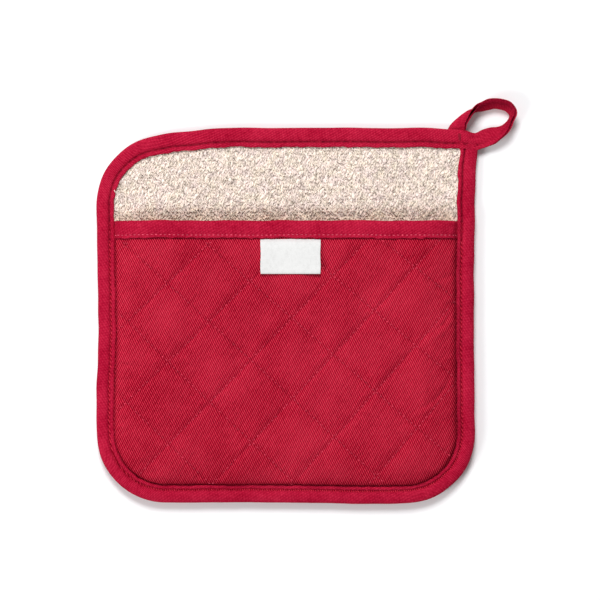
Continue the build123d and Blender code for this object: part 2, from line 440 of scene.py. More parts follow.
class Recipe:
    """Builds one node material."""

    def __init__(self, name: str) -> None:
        """Starts an empty material with a Principled shader.

        Args:
            name: the material's name.
        """
        self.material = bpy.data.materials.new(name)
        self.material.use_nodes = True
        self.nodes = self.material.node_tree.nodes
        self.links = self.material.node_tree.links
        self.shader = self.nodes["Principled BSDF"]

    def node(self, kind: str, inputs: dict | None = None, **settings: object) -> bpy.types.Node:
        """Adds a node.

        Args:
            kind: the node's type.
            inputs: a value or a socket for each input, by name or number.
            settings: the node's own settings.

        Returns:
            The node, with its inputs set or linked.
        """
        made = self.nodes.new(kind)
        for name, value in settings.items():
            setattr(made, name, value)
        for key, value in (inputs or {}).items():
            if isinstance(value, Socket):
                self.links.new(value, made.inputs[key])
            else:
                made.inputs[key].default_value = value
        return made

    def math(self, operation: str, *values: Input) -> Socket:
        """The result of a Math node."""
        return self.node("ShaderNodeMath", dict(enumerate(values)), operation=operation).outputs[0]

    def clamp(self, value: Input) -> Socket:
        """A value kept between 0 and 1."""
        return self.node("ShaderNodeClamp", {"Value": value}).outputs[0]

    def mix(self, share: Input, first: Input, second: Input) -> Socket:
        """A colour between two."""
        return self.node("ShaderNodeMix", {0: share, 6: first, 7: second}, data_type="RGBA").outputs[2]

    def tint(self, colour: Input, filtered: Input) -> Socket:
        """A colour seen through another."""
        return self.node("ShaderNodeVectorMath", {0: colour, 1: filtered}, operation="MULTIPLY").outputs[0]

    def place(self, source: Source) -> Socket:
        """The coordinates that a pattern reads.

        Args:
            source: what the pattern follows.

        Returns:
            The coordinates, in metres.
        """
        if source is Source.PLACE:
            return self.node("ShaderNodeTexCoord").outputs["Object"]
        return self.node("ShaderNodeUVMap", uv_map=source.value).outputs["UV"]

    def noise(self, place: Socket, size: float, detail: float = 2.0, stretch: tuple = (1, 1, 1)) -> Socket:
        """Uneven noise.

        Args:
            place: the coordinates it reads.
            size: about how large its features are, in millimetres.
            detail: how many finer layers it has.
            stretch: the coordinates' scale along each axis.

        Returns:
            Values from 0 to 1, mostly near the middle.
        """
        scaled = self.node("ShaderNodeMapping", {"Vector": place, "Scale": stretch})
        inputs = {"Vector": scaled.outputs[0], "Scale": 1 / (size * MM), "Detail": detail, "Roughness": 0.55}
        return self.node("ShaderNodeTexNoise", inputs).outputs["Fac"]

    def rows(self, place: Socket, pitch: float, lean: float, stray: Input) -> Socket:
        """Parallel ridges.

        Args:
            place: the coordinates they read.
            pitch: from ridge to ridge, in millimetres.
            lean: how far their normal is turned from X, in degrees.
            stray: how far they stray from even, in radians.

        Returns:
            Values from 0 in the valleys to 1 on the ridges.
        """
        rate = 2 * math.pi / (pitch * MM)
        across = (math.cos(math.radians(lean)) * rate, math.sin(math.radians(lean)) * rate, 0)
        dot = self.node("ShaderNodeVectorMath", {0: place, 1: across}, operation="DOT_PRODUCT")
        angle = self.math("ADD", dot.outputs["Value"], stray)
        return self.math("MULTIPLY_ADD", self.math("SINE", angle), 0.5, 0.5)

    def attribute(self, name: str) -> Socket:
        """A point attribute's value."""
        return self.node("ShaderNodeAttribute", attribute_name=name).outputs["Fac"]

    def bump(self, height: Socket, strength: float, depth: float, under: Socket | None = None) -> Socket:
        """A bumped normal.

        Args:
            height: the relief, 0 to 1.
            strength: how strongly it shows.
            depth: the relief's depth, in millimetres.
            under: another bumped normal to add it to.

        Returns:
            The normal.
        """
        inputs = {"Height": height, "Strength": strength, "Distance": depth * MM}
        if under is not None:
            inputs["Normal"] = under
        return self.node("ShaderNodeBump", inputs).outputs[0]

    def finish(self, colour: Socket, roughness: float, normal: Socket, sheen: float,
               specular: float) -> Material:
        """Sets the shader.

        Args:
            colour: the base colour.
            roughness: the shader's roughness.
            normal: the bumped normal.
            sheen: the weight of its sheen.
            specular: the level of its highlights.

        Returns:
            The material.
        """
        for key, value in (("Base Color", colour), ("Normal", normal)):
            self.links.new(value, self.shader.inputs[key])
        for key, value in (("Roughness", roughness), ("Sheen Weight", sheen), ("Sheen Roughness", 0.5),
                           ("Specular IOR Level", specular)):
            self.shader.inputs[key].default_value = value
        return self.material


def tone(colour: tuple, share: float) -> tuple:
    """A linear colour made lighter or darker, with alpha."""
    return tuple(min(1.0, channel * share) for channel in colour) + (1.0,)


def shaded_tone(colour: tuple, share: float) -> tuple:
    """The painted shade in the depth of a weave: a darker, fuller tone."""
    peak = max(colour)
    return tuple(channel * share * math.sqrt(channel / peak) for channel in colour) + (1.0,)


def glint_tone(colour: tuple, share: float) -> tuple:
    """The painted highlight on the crown of a yarn: a lighter, paler tone."""
    peak = max(colour)
    return tuple(min(1.0, share * (0.935 * channel + 0.065 * peak)) for channel in colour) + (1.0,)


@dataclass(frozen=True)
class Finish:
    """What every finish has: its name, its slot in the part and its linear colour."""

    name: str
    slot: str
    colour: tuple


@dataclass(frozen=True)
class Woven(Finish):
    """A woven cloth: its yarns, their twill or plain rows, and how its colour varies."""

    weave: Weave = Weave.TWILL
    source: Source = Source.PLACE
    pitch: float = 1.13
    lean: float = 26.5
    contrast: float = 0.8
    relief: float = 0.5
    roughness: float = 0.9
    sheen: float = 0.0
    specular: float = 0.015
    crest_lighten: float = 0.3
    deepest: float = 0.34
    brightest: float = 1.92
    fleck: float = 0.62

    def material(self) -> Material:
        """Builds the cloth's node material.

        Returns:
            The material.
        """
        r = Recipe(self.name)
        place = r.place(self.source)
        stray = r.math("MULTIPLY", r.noise(place, 4.5, 2.0), 3.4)
        ridge = r.math("MULTIPLY_ADD", r.rows(place, self.pitch, self.lean, stray), 1.5, -0.25)
        ridge = r.clamp(ridge)
        crossing = r.rows(place, self.pitch * 1.9, self.lean - 62.0, r.math("MULTIPLY", stray, 1.6))
        if self.weave is Weave.PLAIN:
            crossing = r.rows(place, self.pitch, self.lean + 90.0, stray)
        yarn = r.math("MULTIPLY", ridge, r.math("MULTIPLY_ADD", crossing, 0.3, 0.7))
        if self.weave is Weave.SATIN:
            yarn = r.math("MULTIPLY_ADD", ridge, 0.3, 0.7)
        fuzz = r.noise(place, 0.8, 3.0)
        slub = r.noise(place, 1.9, 2.0, (1, 0.6, 1))
        cloud = r.noise(place, 26.0, 3.0)
        grain = r.math("MULTIPLY_ADD", slub, 2.2, -1.1)
        grain = r.math("ADD", r.math("MULTIPLY_ADD", fuzz, 2.4, -1.2), grain)
        grain = r.math("MULTIPLY_ADD", grain, self.fleck, 0.5)
        lit = r.math("MULTIPLY_ADD", yarn, self.contrast, r.math("MULTIPLY", grain, 1 - self.contrast))
        lit = r.math("MULTIPLY_ADD", cloud, 0.45, r.math("SUBTRACT", lit, 0.225))
        # Painted light and shade of the weave: the valleys take a darker, fuller tone and the yarn crowns a
        # lighter one.
        base = r.mix(lit, shaded_tone(self.colour, self.deepest), tone(self.colour, self.brightest))
        # Painted highlight: the lightest yarn crowns turn paler, in place of the shine of light on them.
        glint = r.clamp(r.math("MULTIPLY_ADD", lit, 1.9, -1.0))
        base = r.mix(glint, base, glint_tone(self.colour, self.brightest))
        # Crests turn paler and lighter in cloudy patches.
        paled = tuple(0.9 * channel + 0.1 * sum(self.colour) / 3 for channel in self.colour)
        crest_lightening = r.math("MULTIPLY", r.attribute("crest"), r.math("MULTIPLY", cloud, self.crest_lighten))
        base = r.mix(crest_lightening, base, tone(paled, 1.35))
        # Painted shade: the cloth goes dark where the 'seam' attribute marks quilting grooves, stitch
        # grooves, the crevice by the binding, the line under the hem's lip and the loop's inner band.
        deep = r.math("MULTIPLY", r.attribute("seam"), r.math("MULTIPLY_ADD", slub, 0.6, 0.5))
        base = r.mix(deep, base, tone(self.colour, 0.2))
        normal = r.bump(yarn, 0.7, self.relief)
        normal = r.bump(fuzz, 0.35, self.relief * 0.7, normal)
        return r.finish(base, self.roughness, normal, self.sheen, self.specular)


@dataclass(frozen=True)
class Terry(Finish):
    """Looped terry: bright curls over a shaded ground."""

    ground: bool
    mouth: float

    def material(self) -> Material:
        """Builds the terry's node material.

        Returns:
            The material.
        """
        r = Recipe(self.name)
        place = r.place(Source.PLACE)
        curl = r.noise(place, 1.1, 3.0, (1.25, 0.8, 1))
        strand = r.noise(place, 0.3, 2.0)
        cloud = r.noise(place, 5.0, 3.0)
        # Painted shade: the ground and the gaps between curls go dark brown, as though shaded by the pile.
        painted_shade_share = (0.10, 0.07, 0.045) if self.ground else (0.17, 0.125, 0.085)
        shaded = tuple(a * b for a, b in zip(self.colour, painted_shade_share))
        lit = r.math("MULTIPLY_ADD", curl, 2.6, r.math("MULTIPLY", strand, 0.6))
        clump = r.math("MULTIPLY_ADD", r.noise(place, 2.6, 2.0), 1.0, -0.5)
        lit = r.math("ADD", lit, clump)
        base = r.mix(r.math("SUBTRACT", lit, 0.80), tone(shaded, 1.0), tone(self.colour, 1.25))
        tint = r.mix(r.math("MULTIPLY_ADD", cloud, 3.0, -1.0), (1.0, 0.985, 0.91, 1), (1.0, 0.95, 0.96, 1))
        base = r.tint(base, tint)
        # Painted shade: a warm, darker tint in patches on the terry towards the pocket's mouth.
        up = r.node("ShaderNodeSeparateXYZ", {0: place}).outputs["Y"]
        near = r.math("MULTIPLY_ADD", up, -1 / (11 * MM), (self.mouth + 9.5) / 11)
        near = r.math("MULTIPLY", r.clamp(near), r.noise(place, 9.0, 2.0))
        base = r.tint(base, r.mix(near, (1.0, 1.0, 1.0, 1), (0.95, 0.78, 0.62, 1)))
        normal = r.bump(curl, 0.6, 0.5 if self.ground else 0.1)
        normal = r.bump(strand, 0.4, 0.1, normal)
        return r.finish(base, 0.95, normal, 0.25, 0.12)


@dataclass(frozen=True)
class Thread(Finish):
    """Spun sewing thread, with its twist."""

    def material(self) -> Material:
        """Builds the thread's node material.

        Returns:
            The material.
        """
        r = Recipe(self.name)
        place = r.place(Source.PLACE)
        twist = r.rows(place, 0.5, 35.0, 0.0)
        hair = r.noise(place, 2.4, 2.0)
        shade = r.math("MULTIPLY_ADD", hair, 2.4, r.math("MULTIPLY_ADD", twist, 0.4, -0.9))
        base = r.mix(shade, tone(self.colour, 0.55), tone(self.colour, 1.5))
        return r.finish(base, 0.75, r.bump(twist, 0.5, 0.06), 0.04, 0.08)


@dataclass(frozen=True)
class Wadding(Finish):
    """Matted fibres of cotton and polyester."""

    def material(self) -> Material:
        """Builds the wadding's node material.

        Returns:
            The material.
        """
        r = Recipe(self.name)
        place = r.place(Source.PLACE)
        fibre = r.noise(place, 0.7, 5.0, (1, 0.3, 1))
        clump = r.noise(place, 6.0, 3.0)
        base = r.mix(r.math("MULTIPLY_ADD", fibre, 0.6, r.math("MULTIPLY", clump, 0.4)),
                     tone(self.colour, 0.78), tone(self.colour, 1.1))
        return r.finish(base, 0.97, r.bump(fibre, 0.6, 0.3), 0.3, 0.1)


RED = (0.374, 0.0042, 0.0270)
TAPE_RED = (0.390, 0.0048, 0.0350)
CREAM = (0.765, 0.690, 0.640)


class Finishes:
    """Every finish on the mitt, made once."""

    def __init__(self, mouth: float) -> None:
        """Makes the materials.

        Args:
            mouth: the Y of the pocket's mouth, towards which the terry gets a warm painted shade.
        """
        self.made = {}
        for finish in (
            Woven("red_twill_cloth", "red_twill", RED),
            Woven("red_tape_cloth", "binding_tape", TAPE_RED, source=Source.TAPE, pitch=0.8, lean=-18.0,
                  contrast=0.5, relief=0.2, crest_lighten=0.3, deepest=0.36, brightest=1.68, fleck=0.36),
            Woven("lining_cloth", "lining_cotton", (0.76, 0.69, 0.60), Weave.PLAIN, pitch=0.6, lean=0.0,
                  deepest=0.7, brightest=1.2),
            Woven("label_cloth", "label_satin", (0.63, 0.63, 0.625), Weave.SATIN, pitch=0.7, lean=90.0,
                  contrast=0.5, relief=0.05, roughness=0.6, specular=0.15, crest_lighten=0.05, deepest=0.86,
                  brightest=1.1),
            Terry("terry_ground_cloth", "cream_terry", CREAM, True, mouth),
            Terry("terry_pile_yarn", "cream_terry", CREAM, False, mouth),
            Thread("rose_quilting_thread", "red_thread", (0.58, 0.050, 0.095)),
            Thread("pink_hem_thread", "red_thread", (0.66, 0.090, 0.155)),
            Thread("red_sewing_thread", "red_thread", (0.26, 0.007, 0.024)),
            Wadding("white_wadding", "batting", (0.84, 0.82, 0.77)),
        ):
            self.made[finish.name] = (finish.material(), finish.slot)

    def dress(self, name: str, mesh: Mesh, finish: str) -> Object:
        """A piece with one of the finishes.

        Args:
            name: the piece's name.
            mesh: its mesh, in metres.
            finish: the finish's name.

        Returns:
            The piece, with its material.
        """
        material, slot = self.made[finish]
        made = piece(name, mesh, material)
        return made


# ------------------------------------------------------------------ quilted panels
class SeamGrid:
    """A sheet of quads whose rows follow the quilting seams, trimmed to a panel's edge."""

    def __init__(self, plan: Plan, lattice: Lattice, cells: int, edge: float, head: float) -> None:
        """Makes the sheet.

        Args:
            plan: the mitt's plan.
            lattice: the seams.
            cells: quads along one diamond's side.
            edge: how far in the sheet's edge lies.
            head: the sheet stops at this Y.
        """
        self.plan, self.lattice, self.edge, self.head = plan, lattice, edge, head
        sheet = bmesh.new()
        across = 2 * lattice.reach * cells
        bmesh.ops.create_grid(sheet, x_segments=across, y_segments=across, size=lattice.reach)
        cell = np.array([vert.co.xy for vert in sheet.verts])
        x, y = lattice.place(cell[:, 0], cell[:, 1])
        outside = (plan.inset(x, y) < edge) | (y > head)
        for vert, px, py in zip(sheet.verts, x, y):
            vert.co = (px, py, 0)
        spare = [vert for vert, out in zip(list(sheet.verts), outside) if out]
        bmesh.ops.delete(sheet, geom=spare, context="VERTS")
        strays = [vert for vert in sheet.verts if not vert.link_faces]
        bmesh.ops.delete(sheet, geom=strays, context="VERTS")
        self.trim([vert for vert in sheet.verts if vert.is_boundary])
        self.line_up(sheet.verts[:], LIP, 0.37 * lattice.side / cells)
        bmesh.ops.recalc_face_normals(sheet, faces=sheet.faces)
        if sheet.faces[0].normal.z < 0:
            bmesh.ops.reverse_faces(sheet, faces=sheet.faces)
        self.mesh = meshed(sheet, "seam_grid")
        self.points = np.array([vert.co for vert in self.mesh.vertices], float)

    def trim(self, rim: list) -> None:
        """Moves the rim's points out to the panel's edge.

        Args:
            rim: the sheet's outermost points.
        """
        x = np.array([vert.co.x for vert in rim])
        y = np.array([vert.co.y for vert in rim])
        for _ in range(3):
            inset = self.plan.inset(x, y)
            slope_x, slope_y = self.plan.slope(x, y)
            at_head = self.head - y < inset - self.edge
            x = np.where(at_head, x, x + slope_x * (self.edge - inset))
            y = np.where(at_head, self.head, y + slope_y * (self.edge - inset))
        for vert, px, py in zip(rim, x, y):
            vert.co = (px, py, 0)

    def line_up(self, verts: list, inset: float, reach: float) -> None:
        """Moves the points that are near a line parallel to the edge onto it.

        Args:
            verts: the sheet's points.
            inset: how far in the line lies.
            reach: how near a point has to be.
        """
        x = np.array([vert.co.x for vert in verts])
        y = np.array([vert.co.y for vert in verts])
        away = inset - self.plan.inset(x, y)
        slope_x, slope_y = self.plan.slope(x, y)
        for index in np.flatnonzero((np.abs(away) < reach) & (y < self.head - 0.1)):
            step = away[index]
            verts[index].co = (x[index] + slope_x[index] * step, y[index] + slope_y[index] * step, 0)

    @property
    def inset(self) -> Array:
        """How far in from the mitt's edge each point lies."""
        return self.plan.inset(self.points[:, 0], self.points[:, 1])

    def ply(self, upper: Array, lower: Array) -> Mesh:
        """A closed ply between two sets of points.

        Args:
            upper: the points of its upper face.
            lower: the points of its lower face.

        Returns:
            A mesh in metres, with the point attribute "upper".
        """
        body = bmesh.new()
        body.from_mesh(self.mesh)
        row = body.verts.layers.int.new("row")
        side = body.verts.layers.float.new("upper")
        for number, vert in enumerate(body.verts):
            vert[row] = number
        first = body.faces[:]
        made = bmesh.ops.extrude_face_region(body, geom=first, use_keep_orig=True)
        raised = {item for item in made["geom"] if isinstance(item, bmesh.types.BMVert)}
        for vert in body.verts:
            vert[side] = vert in raised
            vert.co = Vector(upper[vert[row]] if vert in raised else lower[vert[row]]) * MM
        bmesh.ops.reverse_faces(body, faces=first)
        return meshed(body, "ply")


@dataclass
class Billow:
    """How a quilted cloth swells between its seams, by simulation."""

    pull: float = -2.0
    excess: float = 0.03
    frames: int = 16
    cap: float = 2.2

    def swell(self, grid: SeamGrid, start: Array, held: Array) -> Array:
        """Lets a sheet billow from a starting shape.

        Args:
            grid: the sheet's quads.
            start: its points to begin with.
            held: true for the points that are sewn down.
        """
        mesh = grid.mesh.copy()
        write_points(mesh, start)
        cloth = bpy.data.objects.new("billow", mesh)
        scene = bpy.context.scene
        scene.collection.objects.link(cloth)
        cloth.vertex_groups.new(name="sewn").add([int(i) for i in np.flatnonzero(held)], 1.0, "REPLACE")
        modifier = cloth.modifiers.new("Cloth", "CLOTH")
        settings = modifier.settings
        settings.vertex_group_mass = "sewn"
        settings.effector_weights.gravity = self.pull
        settings.shrink_min = settings.shrink_max = -self.excess
        settings.quality = 5
        settings.mass = 0.2
        settings.tension_stiffness = settings.compression_stiffness = 12
        settings.shear_stiffness = 4
        settings.bending_stiffness = 0.4
        settings.air_damping = 6
        settings.tension_damping = settings.compression_damping = 20
        modifier.collision_settings.use_collision = False
        modifier.point_cache.frame_start = 1
        modifier.point_cache.frame_end = self.frames
        scene.frame_start, scene.frame_end = 1, self.frames
        for number in range(1, self.frames + 1):
            scene.frame_set(number)
        settled = evaluated_mesh(cloth)
        points = read_points(settled)
        drop(cloth)
        scene.frame_set(1)
        move = points - start
        length = np.linalg.norm(move, axis=1, keepdims=True)
        return start + move * np.minimum(1, self.cap / np.maximum(length, 1e-9))


@dataclass
class Panel:
    """A quilted panel of the mitt: what its plies share."""

    plan: Plan
    levels: Levels
    lattice: Lattice
    edge: float = 1.6
    head: float = 400.0
    cells: int = 16
    seam_depths: tuple[float, float] = (0.28, 0.8)
    groove_depths: tuple[float, float] = (0.16, 0.36)
    stitch_pitch: float = 2.9
    stitch_length: float = 1.3
    stitch_width: float = 0.46
    stitch_share: float = 0.8

    def __post_init__(self) -> None:
        """Makes the grid that the plies share."""
        self.grid = SeamGrid(self.plan, self.lattice, self.cells, self.edge, self.head)
        self.soft = Ripples(11, 14, 60)
        self.loose = Ripples(17, 24, 70)
        self.beside = Ripples(29, 5, 19)

    def fade(self, x: Array, y: Array) -> Array:
        """How much the quilting shows: not at all where the binding grips the panel."""
        return smoothstep(9.2, 17.0, self.plan.inset(x, y))

    def held(self) -> Array:
        """Which of the grid's points are sewn down."""
        return (self.lattice.nearest(*self.grid.points[:, :2].T) < 0.2) | (self.grid.inset < GRIP)

    def dressed(self, name: str, mesh: Mesh, finish: str, finishes: Finishes) -> Object:
        """Makes a ply smooth.

        Args:
            name: the piece's name.
            mesh: the ply.
            finish: its finish's name.
            finishes: the mitt's finishes.

        Returns:
            The piece.
        """
        made = finishes.dress(name, mesh, finish)
        smooth = made.modifiers.new("Smooth", "SUBSURF")
        smooth.levels = smooth.render_levels = 1
        fine = evaluated_mesh(made)
        drop(made)
        return finishes.dress(name, fine, finish)

    def crest(self, x: Array, y: Array) -> Array:
        """1 on top of a pillow, 0 on a seam."""
        return self.lattice.pillow(x, y, 0.5) * self.fade(x, y)

    def sewn(self, x: Array, y: Array) -> Array:
        """1 on a quilting seam, 0 beside it."""
        return hump(self.lattice.nearest(x, y), 0, 0.55) * self.fade(x, y)

    def pucker(self, x: Array, y: Array, ruck: float) -> Array:
        """The fine groove that the thread pulls, and the small creases that run into it.

        Args:
            x: the places' X.
            y: their Y.
            ruck: how high the creases are.

        Returns:
            One height for each place.
        """
        height = np.zeros_like(x)
        for number, (away, seam, along) in enumerate(self.lattice.seams(x, y)):
            bend = 2.4 * np.sin(along / 17.0 + seam * 2.1 + number) + 1.6 * np.sin(along / 7.3 + seam)
            wave = np.sin(2 * np.pi * along / 5.2 + bend + number)
            height -= self.groove_depths[number] * hump(away, 0, 0.65)
            height += ruck * wave * np.exp(-away / 4.0) * (1 - hump(away, 0, 1.1))
        return height * self.fade(x, y)

    def stitches(self, face: Array, points: Array, up: float, bounds: Callable) -> Array:
        """Where the quilting thread shows.

        Args:
            face: heights of the cloth's face at the points.
            points: the points, X and Y.
            up: 1 for a face that looks up, -1 for one that looks down.
            bounds: a test of X and Y for where stitches may be.

        Returns:
            One 4 by 4 matrix for each stitch, in millimetres.
        """
        places = []
        reach = self.lattice.reach
        steps = int(self.lattice.side / self.stitch_pitch)
        run = (np.arange(2 * reach * steps) + 0.5) / steps - reach
        for turned in (1, -1):
            for seam in range(-reach, reach + 1):
                fixed = np.full_like(run, float(seam))
                x, y = self.lattice.place(*(run, fixed)[::turned])
                next_x, next_y = self.lattice.place(*(run + 0.01, fixed)[::turned])
                keep = bounds(x, y)
                turn = np.arctan2(next_y - y, next_x - x)
                places += list(zip(x[keep], y[keep], turn[keep]))
        draw = np.random.default_rng(5)
        places = np.array(places)[draw.random(len(places)) < self.stitch_share]
        height = nearest_heights(points, face, places[:, :2])
        turn = places[:, 2] + draw.normal(0, 0.16, len(places))
        shift = draw.normal(0, 0.17, (len(places), 2))
        size = (self.stitch_length / 2, self.stitch_width / 2, self.stitch_width / 2)
        at = np.stack([places[:, 0] + shift[:, 0], places[:, 1] + shift[:, 1], height + 0.05 * up], 1)
        return placed(at, turn, size)

    def settled(self, made: Object, node: str | None) -> None:
        """Moves a piece to where the sewing left it, on the mitt's body.

        Args:
            made: the piece.
            node: the CAD node that it replaces, if any.
        """
        write_points(made.data, self.plan.settle(read_points(made.data)))
        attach(made, "mitt")
        if node:
            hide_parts(node)


def nearest_heights(points: Array, heights: Array, at: Array) -> Array:
    """The height of the point nearest to each place.

    Args:
        points: known points, X and Y.
        heights: their heights.
        at: the places, X and Y.

    Returns:
        One height for each place.
    """
    found = np.empty(len(at))
    for start in range(0, len(at), 200):
        block = at[start:start + 200]
        away = ((points[None, :, :] - block[:, None, :]) ** 2).sum(-1)
        found[start:start + 200] = heights[away.argmin(1)]
    return found


def framed(first: Array, second: Array, third: Array, at: Array) -> Array:
    """Matrices from their columns.

    Args:
        first: where a unit step along X goes.
        second: where a unit step along Y goes.
        third: where a unit step along Z goes.
        at: where the origin goes.

    Returns:
        One 4 by 4 matrix for each place.
    """
    matrices = np.zeros((len(at), 4, 4))
    for column, values in enumerate((first, second, third, at)):
        matrices[:, :3, column] = values
    matrices[:, 3, 3] = 1
    return matrices


def placed(at: Array, turn: Array, size: tuple) -> Array:
    """Matrices that put a unit shape at places, turned about Z and stretched.

    Args:
        at: the places, three numbers each.
        turn: the turns about Z.
        size: the stretch along X, Y and Z.

    Returns:
        One 4 by 4 matrix for each place.
    """
    cos, sin, none = np.cos(turn), np.sin(turn), np.zeros(len(turn))
    return framed(np.stack([cos, sin, none], 1) * size[0], np.stack([-sin, cos, none], 1) * size[1],
                  (0, 0, size[2]), at)


def scattered(pattern: Mesh, matrices: Array) -> Mesh:
    """One mesh of many copies of a small shape.

    Args:
        pattern: the shape to copy.
        matrices: a 4 by 4 matrix for each copy, which place it in millimetres.

    Returns:
        The mesh, in metres.
    """
    shape = np.array([vert.co for vert in pattern.vertices])
    points = np.einsum("nij,vj->nvi", matrices[:, :3, :3], shape) + matrices[:, None, :3, 3]
    faces = np.array([list(face.vertices) for face in pattern.polygons], dtype=object)
    sizes = np.array([len(face) for face in faces])
    corners = np.concatenate([np.array(face) for face in faces])
    count = len(matrices)
    mesh = bpy.data.meshes.new("scattered")
    mesh.vertices.add(count * len(shape))
    mesh.loops.add(count * len(corners))
    mesh.polygons.add(count * len(sizes))
    starts = np.concatenate([[0], np.cumsum(sizes)[:-1]])
    every = (np.arange(count)[:, None] * len(shape) + corners[None, :]).ravel()
    mesh.vertices.foreach_set("co", (points.reshape(-1, 3) * MM).astype(np.float32).ravel())
    mesh.loops.foreach_set("vertex_index", every.astype(np.int32))
    begins = (np.arange(count)[:, None] * len(corners) + starts[None, :]).ravel()
    mesh.polygons.foreach_set("loop_start", begins.astype(np.int32))
    mesh.update(calc_edges=True)
    mesh.validate()
    return mesh


def stitch_shape() -> Mesh:
    """Makes one stitch.

    Returns:
        A slim bead, 1 long each way from its middle.
    """
    bead = bmesh.new()
    bmesh.ops.create_uvsphere(bead, u_segments=6, v_segments=4, radius=1)
    bmesh.ops.rotate(bead, verts=bead.verts, matrix=Matrix.Rotation(math.pi / 2, 3, "Y"))
    return meshed(bead, "stitch")


def pile_shape() -> Mesh:
    """Makes one curl of pile.

    Returns:
        A thin tube bent over, about 1 high, that goes into the ground at both ends.
    """
    curl = bmesh.new()
    ring = bmesh.ops.create_circle(curl, segments=4, radius=0.22)["verts"]
    bmesh.ops.translate(curl, verts=ring, vec=(0.5, 0, 0))
    bmesh.ops.spin(curl, geom=curl.verts[:] + curl.edges[:], cent=(0, 0, 0), axis=(0, -1, 0),
                   angle=math.pi * 1.1, steps=4)
    bmesh.ops.recalc_face_normals(curl, faces=curl.faces)
    return meshed(curl, "curl")


